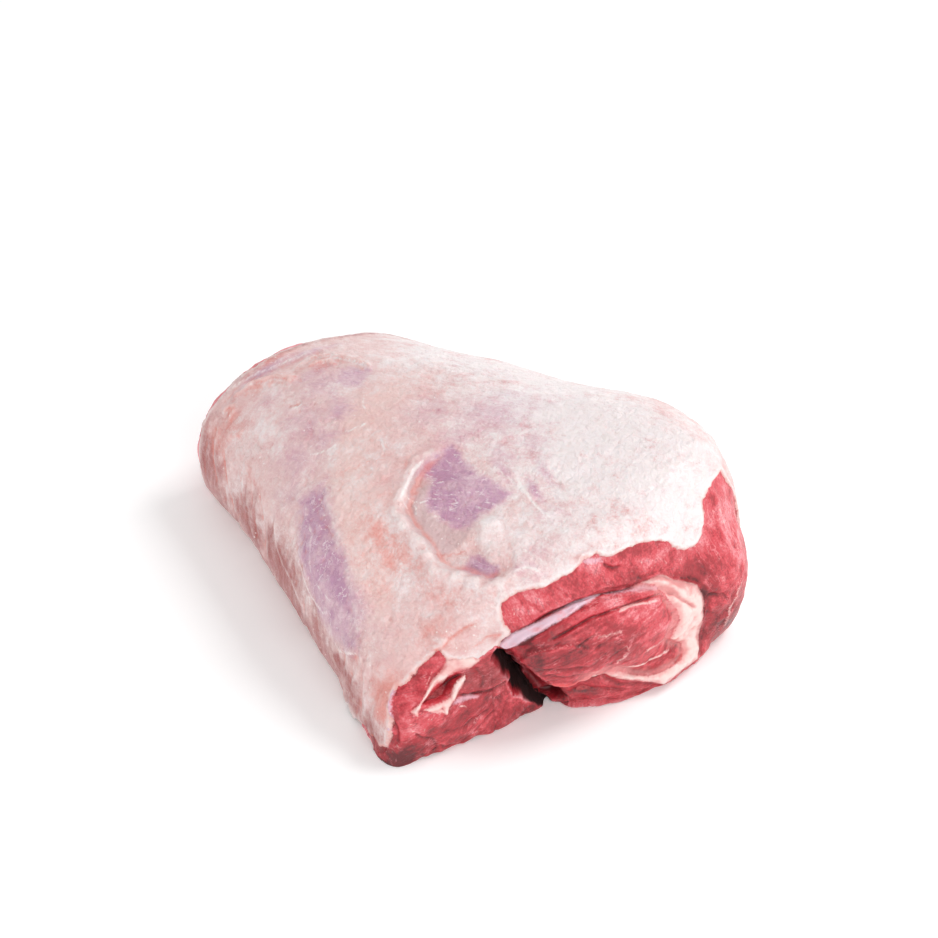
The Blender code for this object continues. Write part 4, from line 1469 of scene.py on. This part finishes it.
@dataclass
class FatCover:
    """The fat-covered leg itself: top, walls, back and underside."""

    voxel: float = 1.19
    forms: LegForms = field(default_factory=LegForms)

    def relief(self, s: Surface, meat: np.ndarray, rear: np.ndarray) -> np.ndarray:
        """The height of every form of the cover, in millimetres.

        Args:
            s: the cover.
            meat: its depth inside the front cut face.
            rear: its depth inside the rear cut face.

        Returns:
            How far each point is raised.
        """
        p = s.rest
        up = 0.55 * rumple(p, 30.0, 1) + 0.2 * rumple(p, 11.0, 2)
        small = np.abs(grain_noise(p, 4.4, 5))
        patches = ease(-0.5, 0.6, grain_noise(p, 26.0, 3)) + 0.6 * hill(p[:, 0] + 62.0, 22.0)
        up += (0.42 * (1.0 - hill(small, 0.22)) + 0.2 * grain_noise(p, 3.0, 9)) * patches
        run_top, run_wall, walls = self.runs(s)
        long = np.array((0.3, 1.0, 1.0))
        pucker = np.abs(grain_noise(run_top * long, 6.0, 6))
        pucker += (np.abs(grain_noise(run_wall * long, 6.0, 6)) - pucker) * walls
        up -= 0.35 * hill(pucker, 0.11) * ease(-0.1, 0.6, grain_noise(p, 22.0, 7))
        window = WINDOW.depth(s) + 0.7 * grain_noise(p, 5.0, 8)
        left = ease(-16.0, -40.0, p[:, 0])
        up -= (0.3 + 2.0 * left) * ease(-0.3, 2.4, window)
        up += left * hill(window + 2.2, 2.2) * (1.4 + 0.9 * grain_noise(p, 4.5, 15))
        for lump in LUMPS:
            there = lump.amount(s)
            up += there * (1.1 + 0.35 * grain_noise(p, 5.0, 14))
        slack = np.max([patch.amount(s) for patch in FILMS], axis=0)
        up -= 0.45 * slack
        up -= 1.5 * ease(-2.0, 2.0, LOW_MEAT.depth(s))
        side = ease(0.45, 0.9, np.abs(s.rest_normals[:, 0]))
        drapes = np.abs(grain_noise(p * np.array((1.0, 1.0, 0.2)), 7.0, 31))
        up += side * (0.35 - 1.0 * hill(drapes, 0.16) * ease(-0.5, 0.4, grain_noise(p, 26.0, 32)))
        up += 0.35 * hill(meat + 1.6, 1.2) + 0.4 * hill(rear + 2.2, 1.6)
        up -= 5.0 * ease(-0.3, 1.6, meat)
        up -= 5.0 * ease(-0.3, 1.6, rear)
        return up

    def runs(self, s: Surface) -> tuple[np.ndarray, np.ndarray, np.ndarray]:
        """Coordinates along the wrinkles of the top and of the walls, and how much of a wall each point is."""
        side = s.averaged(ease(0.4, 0.85, np.abs(s.rest_normals[:, 0])), 20)
        turn = math.radians(-52.0)
        x, y, z = s.rest.T
        top = np.stack((x * math.cos(turn) + y * math.sin(turn), -x * math.sin(turn) + y * math.cos(turn), z), axis=1)
        return top, np.stack((z, y, x), axis=1), side

    def marks(self, s: Surface, meat: np.ndarray, rear: np.ndarray) -> None:
        """Stores what the fat's material reads: films, blushes and bare meat."""
        p, n = s.rest, s.rest_normals
        window = WINDOW.depth(s)
        film = np.max([mark.amount(s) for mark in (*FILMS, *HAZES)], axis=0)
        smoky = np.max([mark.amount(s) for mark in SMOKY], axis=0)
        # The shade blend runs from cream to blush: partly the fat's own pinker tone towards the left, partly painted
        # shade, darker on the left, which faces away from the key lamp, and on the right-hand end, where that lamp
        # falls strongest; it also darkens towards the rear.
        shade = 0.76 * ease(32.0, -40.0, p[:, 0]) + 0.1 * hill(p[:, 1] - 30.0, 34.0)
        shade += 0.2 * ease(-40.0, -84.0, p[:, 1]) * ease(-40.0, -70.0, p[:, 0])
        shade += 0.5 * ease(48.0, 84.0, p[:, 0]) + 0.3 * ease(60.0, 104.0, p[:, 1])
        # Painted light: these hazes pale the blush.
        shade -= np.max([haze.amount(s) for haze in FAT_PAINTED_LIGHT], axis=0)
        # Red-brown lower on the walls, at the rear end and near the rear cut: partly meat showing through the thin fat,
        # partly painted shade where the walls curve under.
        low = ease(50.0, 10.0, p[:, 2]) * ease(0.2, 0.9, np.abs(n[:, 0])) * ease(-100.0, -30.0, p[:, 1])
        end = ease(40.0, 100.0, p[:, 1]) * ease(70.0, 36.0, p[:, 2]) * ease(0.2, 0.7, np.abs(n[:, 0]))
        ruddy = np.maximum(0.7 * low, 0.6 * end) * np.where(p[:, 0] > 0.0, 0.75, 1.0)
        ruddy = np.maximum(ruddy, 0.95 * ease(-6.5, -0.6, rear) * ease(44.0, 58.0, p[:, 2]))
        ruddy = np.maximum.reduce([ruddy, *(mark.amount(s) for mark in (*RUDDY, *RUDDY_HAZES))])
        flush = np.maximum(0.45 * hill(BLUSH_LINE.gap(s) - 1.0, 4.0), np.max([haze.amount(s) for haze in BLUSHES], axis=0))
        milky = np.zeros(len(p))
        for fold in COVER_FOLDS:
            there = fold.shape(s)[1]
            milky = np.maximum(milky, fold.white * there)
            flush = np.maximum(flush, fold.warm * there)
        milky = np.maximum(milky, 0.45 * np.max([ease(0.4, 1.2, lump.amount(s)) for lump in LUMPS], axis=0))
        flush = np.maximum(flush, 0.45 * hill(window - 1.5, 1.6) * ease(-46.0, -50.0, p[:, 0]) * ease(-31.0, -36.0, p[:, 1]) * 0.6)
        bare = np.maximum.reduce([meat, rear, LOW_MEAT.depth(s)])
        peach = PEACH.depth(s)
        s.keep("film", film)
        s.keep("smoky", smoky)
        s.keep("flush", flush)
        s.keep("ruddy", ruddy)
        ends = ease(58.0, 30.0, p[:, 1]) * ease(-70.0, -50.0, p[:, 1])
        s.keep("peach", np.where(peach > -FAR, ends * ease(-3.5, 3.5, peach) * ease(36.0, 6.0, peach), 0.0))
        s.keep("meat", np.clip(bare, -8.0, 8.0))
        s.keep("shade", shade)
        s.keep("milky", milky)
        for name, value in zip(("run_top", "run_wall", "walls"), self.runs(s)):
            s.keep(name, value)

    def build(self) -> bpy.types.Object:
        """Makes the cover and returns it."""
        piece = Carcass().copy("fat_cover", self.voxel * MM)
        s = Surface(piece.data)
        s.relax(14)
        s.settle()
        meat = self.forms.meat_depth(s)
        rear = self.forms.rear_depth(s)
        s.raise_by(self.relief(s, meat, rear) + sum(fold.shape(s)[0] for fold in COVER_FOLDS))
        around = ease(-9.0, -2.0, GAP.depth(s)) * ease(-62.0, -70.0, s.rest[:, 1])
        hole = self.forms.gap_depth(s) + 9.0 * around * ease(0.0, 3.0, meat)
        s.points += np.array(self.forms.gap_way) * hole[:, None] + self.forms.swell(s)
        s.relax(1, 0.3)
        s.points[:, 2] = np.maximum(s.points[:, 2], CAD_BOX[0].z / MM)
        s.keep("cavity", s.cavity(10))
        self.marks(s, meat, rear)
        finish_piece(piece, s, FatFinish().build())
        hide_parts(NODE)
        return piece


@dataclass
class CutFace:
    """The red cut face in front: the band, the rolled muscle, its fat rim and the heel."""

    voxel: float = 1.12
    back: float = -58.0
    forms: LegForms = field(default_factory=LegForms)

    def refine(self, piece: bpy.types.Object) -> None:
        """Halves the faces that show, and leaves those inside the leg as they are."""
        chart = Chart.FRONT.axes()[2]
        s = Surface(piece.data)
        s.relax(6)
        s.settle()
        depth = self.forms.meat_depth(s)
        shows = (depth > -2.5) & (s.rest[:, 1] < self.back - 4.0) & (s.rest_normals @ chart > -0.35)
        shape = bmesh.new()
        shape.from_mesh(piece.data)
        shape.verts.ensure_lookup_table()
        faces = [f for f in shape.faces if all(shows[v.index] for v in f.verts)]
        edges = list({e for f in faces for e in f.edges})
        bmesh.ops.subdivide_edges(shape, edges=edges, cuts=1, use_grid_fill=True)
        shape.to_mesh(piece.data)
        shape.free()

    def relief(self, s: Surface, meat: np.ndarray) -> np.ndarray:
        """The height of every form of the cut face, in millimetres."""
        p = s.rest
        grain = self.grain(s)
        up = -self.forms.inset(meat)
        up += 0.5 * rumple(p, 16.0, 51) + 0.35 * rumple(p, 6.0, 52)
        in_roll = ROLL.depth(s) + 0.8 * grain_noise(p, 4.0, 53)
        lens = LENS.depth(s)
        rim = RIM.depth(s) + 0.5 * grain_noise(p, 3.5, 54)
        strip = SILVER_STRIP.depth(s)
        raw = CREASE.depth(s)
        crease = np.where(raw <= -FAR, FAR, -raw) + 0.3 * grain_noise(p, 6.0, 55)
        above = (crease > 0) & (crease < 12) & (in_roll < 0) & (rim < 0.5)
        up += np.where(above, 0.9 * ease(9.0, 2.0, crease) * ease(-0.2, 1.0, crease), 0.0)
        bundles = np.abs(grain_noise(grain * np.array((0.15, 1.0, 1.0)), 5.5, 56))
        strands = np.abs(grain_noise(grain * np.array((0.2, 1.0, 1.0)), 2.4, 57))
        smooth = np.maximum.reduce([ease(-1.0, 1.0, rim), ease(-1.0, 1.0, strip), ease(-1.0, 1.0, lens)])
        fibrous = (0.3 + 0.4 * ease(-1.0, 3.0, in_roll)) * (1.0 - 0.85 * smooth)
        patchy = ease(-0.5, 0.5, grain_noise(p, 13.0, 58))
        up -= fibrous * patchy * (0.9 * hill(bundles, 0.10) + 0.25 * hill(strands, 0.2))
        up += (1.0 - smooth) * 0.35 * grain_noise(grain * np.array((0.3, 1.0, 1.0)), 5.0, 59)
        up += np.where(in_roll > 0, 1.6 * ease(0.3, 7.0, in_roll), 0.0)
        up += 1.2 * ease(-0.3, 0.8, strip) + 0.9 * ease(-0.5, 4.0, lens)
        up += 1.2 * ease(-0.3, 0.9, LEDGE.depth(s) + 0.5 * grain_noise(p, 2.5, 66)) * ease(4.0, -12.0, p[:, 0])
        up += 2.0 * ease(-1.4, 3.2, rim) - 0.6 * hill(rim + 1.8, 1.1)
        up += 0.8 * ease(-0.5, 1.5, rim) * (rumple(p, 7.0, 60) + 0.5 * grain_noise(p, 2.6, 68))
        lower = LOWER.depth(s)
        up -= (1.6 + 1.6 * ease(12.0, -6.0, p[:, 0])) * ease(-0.5, 2.0, lower) * (1.0 - ease(-0.5, 1.0, rim))
        up -= 1.8 * hill(LOWER_LIP.depth(s), 1.3) * ease(12.0, 0.0, p[:, 0])
        for shape in HEEL_STRIPS:
            up += 1.1 * ease(-0.5, 1.2, shape.depth(s) + 0.4 * grain_noise(p, 2.5, 67))
        up -= 4.5 * ease(-0.4, 2.4, HEEL_HOLLOW.depth(s))
        up += 1.1 * ease(-0.5, 1.5, HEEL_FLAP.depth(s))
        up += 0.6 * ease(-0.5, 2.0, HEEL_MEMBRANE.depth(s)) + 0.7 * ease(0.0, 5.0, BROWN.depth(s))
        heel = ease(-30.0, -42.0, p[:, 0])
        up += heel * (0.7 * rumple(p, 12.0, 62) + 0.35 * grain_noise(p, 5.0, 63))
        bump = SIDE_BUMP.depth(s)
        up += 0.9 * ease(-1.5, 4.0, bump) - 0.8 * hill(bump + 1.5, 1.3)
        return up

    def build(self) -> bpy.types.Object:
        """Makes the cut face and returns it."""
        low, high = (v / MM for v in CAD_BOX)
        box = ((low.x - 5, low.y - 5, low.z - 5), (high.x + 5, self.back, high.z + 5))
        piece = Carcass().copy("cut_face", self.voxel * MM, box)
        self.refine(piece)
        s = Surface(piece.data)
        s.relax(10)
        s.settle()
        meat = self.forms.meat_depth(s)
        inside = ease(self.back - 3.0, self.back - 8.0, s.rest[:, 1])
        height = self.relief(s, meat) + sum(fold.shape(s)[0] for fold in CUT_FOLDS)
        s.raise_by(height * inside - 6.0 * (1.0 - inside))
        hole = self.forms.gap_depth(s) * inside
        s.points += np.array(self.forms.gap_way) * hole[:, None] + self.forms.swell(s)
        s.relax(1, 0.25)
        s.points[:, 2] = np.maximum(s.points[:, 2], CAD_BOX[0].z / MM)
        rim = RIM.depth(s)
        ragged = 0.7 * grain_noise(s.rest, 3.5, 64)
        sheens = [ease(-1.0, 2.0, shape.depth(s)) for shape in (MEMBRANE, BAND_SILVER, HEEL_MEMBRANE)]
        keep_meat_marks(
            s,
            CUT_FOLDS,
            fat=np.maximum.reduce([rim, *(shape.depth(s) for shape in HEEL_STRIPS)]),
            silver=np.maximum(SILVER_STRIP.depth(s), 0.7 * HEEL_FLAP.depth(s) - 0.3),
            sheen=np.max(sheens, axis=0),
            # Painted shade: the deep gap is painted near black.
            dark=np.maximum(ease(2.0, 7.0, hole), ease(-0.8, 1.6, GAP_SHADE_OUTLINE.depth(s) + ragged) * inside),
            brown=0.9 * ease(-4.0, 5.0, BROWN.depth(s) + ragged),
            halo=np.maximum(
                ease(-6.0, 0.0, rim) * ease(-0.5, 1.0, ROLL.depth(s)),
                Haze((40.0, -96.0, 47.0), (11.0, 7.0, 7.0), 1.1).amount(s) * ease(-0.5, 1.0, rim),
            ),
        )
        s.keep("grain", self.grain(s))
        finish_piece(piece, s, MeatFinish().build())
        return piece

    def grain(self, s: Surface) -> np.ndarray:
        """Coordinates that run along the fibres, across them and into the meat, in millimetres."""
        axes = Chart.FRONT.axes()
        flat = s.rest @ axes.T
        in_roll, lower, rim = ROLL.depth(s) > 0, LOWER.depth(s) > -1.0, RIM.depth(s) > 0
        turn = np.where(in_roll | rim, 25.0, np.where(lower, 4.0, -58.0))
        turn = np.radians(s.averaged(turn, 3))
        along = flat[:, 0] * np.cos(turn) + flat[:, 1] * np.sin(turn)
        across = -flat[:, 0] * np.sin(turn) + flat[:, 1] * np.cos(turn)
        result = np.stack((along, across, flat[:, 2]), axis=1)
        away = flat - np.array((-28.0, -93.0, 36.0)) @ axes.T
        fan = np.stack((np.hypot(away[:, 0], away[:, 1]), 24.0 * np.arctan2(away[:, 1], away[:, 0]), away[:, 2]), axis=1)
        heel = (s.rest[:, 0] < -24.0) & ~in_roll & (CREASE.depth(s) > -FAR) | (s.rest[:, 0] < -44.0)
        heel &= s.rest[:, 2] < 46.0
        return np.where(heel[:, None], fan, result)


@dataclass
class RearFace:
    """The rear cut face: muscles seen end on, with pale seams between them."""

    voxel: float = 1.3
    front: float = 84.0
    forms: LegForms = field(default_factory=LegForms)

    def relief(self, s: Surface, rear: np.ndarray) -> np.ndarray:
        """The height of every form of the rear face, in millimetres."""
        p = s.rest
        up = -self.forms.inset(rear) + 0.9 * rumple(p, 20.0, 81) + 0.35 * rumple(p, 6.0, 82)
        cells = np.abs(grain_noise(p * np.array((1.0, 0.3, 1.0)), 4.5, 83))
        up -= 0.5 * hill(cells, 0.12) * ease(-0.4, 0.5, grain_noise(p, 15.0, 84))
        for fat in REAR_FATS:
            up += 1.0 * ease(-0.6, 1.4, fat.depth(s) + 0.5 * grain_noise(p, 3.0, 85))
        return up + sum(fold.shape(s)[0] for fold in REAR_FOLDS)

    def build(self) -> bpy.types.Object:
        """Makes the rear face and returns it."""
        low, high = (v / MM for v in CAD_BOX)
        box = ((low.x - 5, self.front, low.z - 5), (high.x + 5, high.y + 5, high.z + 5))
        piece = Carcass().copy("rear_face", self.voxel * MM, box)
        s = Surface(piece.data)
        s.relax(8)
        s.settle()
        outside = ease(self.front + 3.0, self.front + 8.0, s.rest[:, 1])
        height = self.relief(s, self.forms.rear_depth(s))
        s.raise_by(height * outside - 6.0 * (1.0 - outside))
        s.relax(1, 0.25)
        s.points[:, 2] = np.maximum(s.points[:, 2], CAD_BOX[0].z / MM)
        fat = np.max([shape.depth(s) for shape in REAR_FATS], axis=0) + 0.6 * grain_noise(s.rest, 3.0, 85)
        veil = 2.6 * grain_noise(s.rest, 7.0, 86)
        sheen = 0.75 * np.max([ease(-4.0, 6.0, shape.depth(s) + veil) for shape in REAR_SILVER], axis=0)
        keep_meat_marks(s, REAR_FOLDS, fat=fat, sheen=sheen)
        s.keep("grain", s.rest[:, (1, 0, 2)])
        finish_piece(piece, s, MeatFinish().build())
        return piece


def main() -> None:
    """Builds the leg, its stage and its light."""
    logging.basicConfig(level=logging.INFO, format="%(name)s %(message)s")
    Studio().build()
    FatCover().build()
    CutFace().build()
    RearFace().build()


if __name__ == "__main__":
    main()
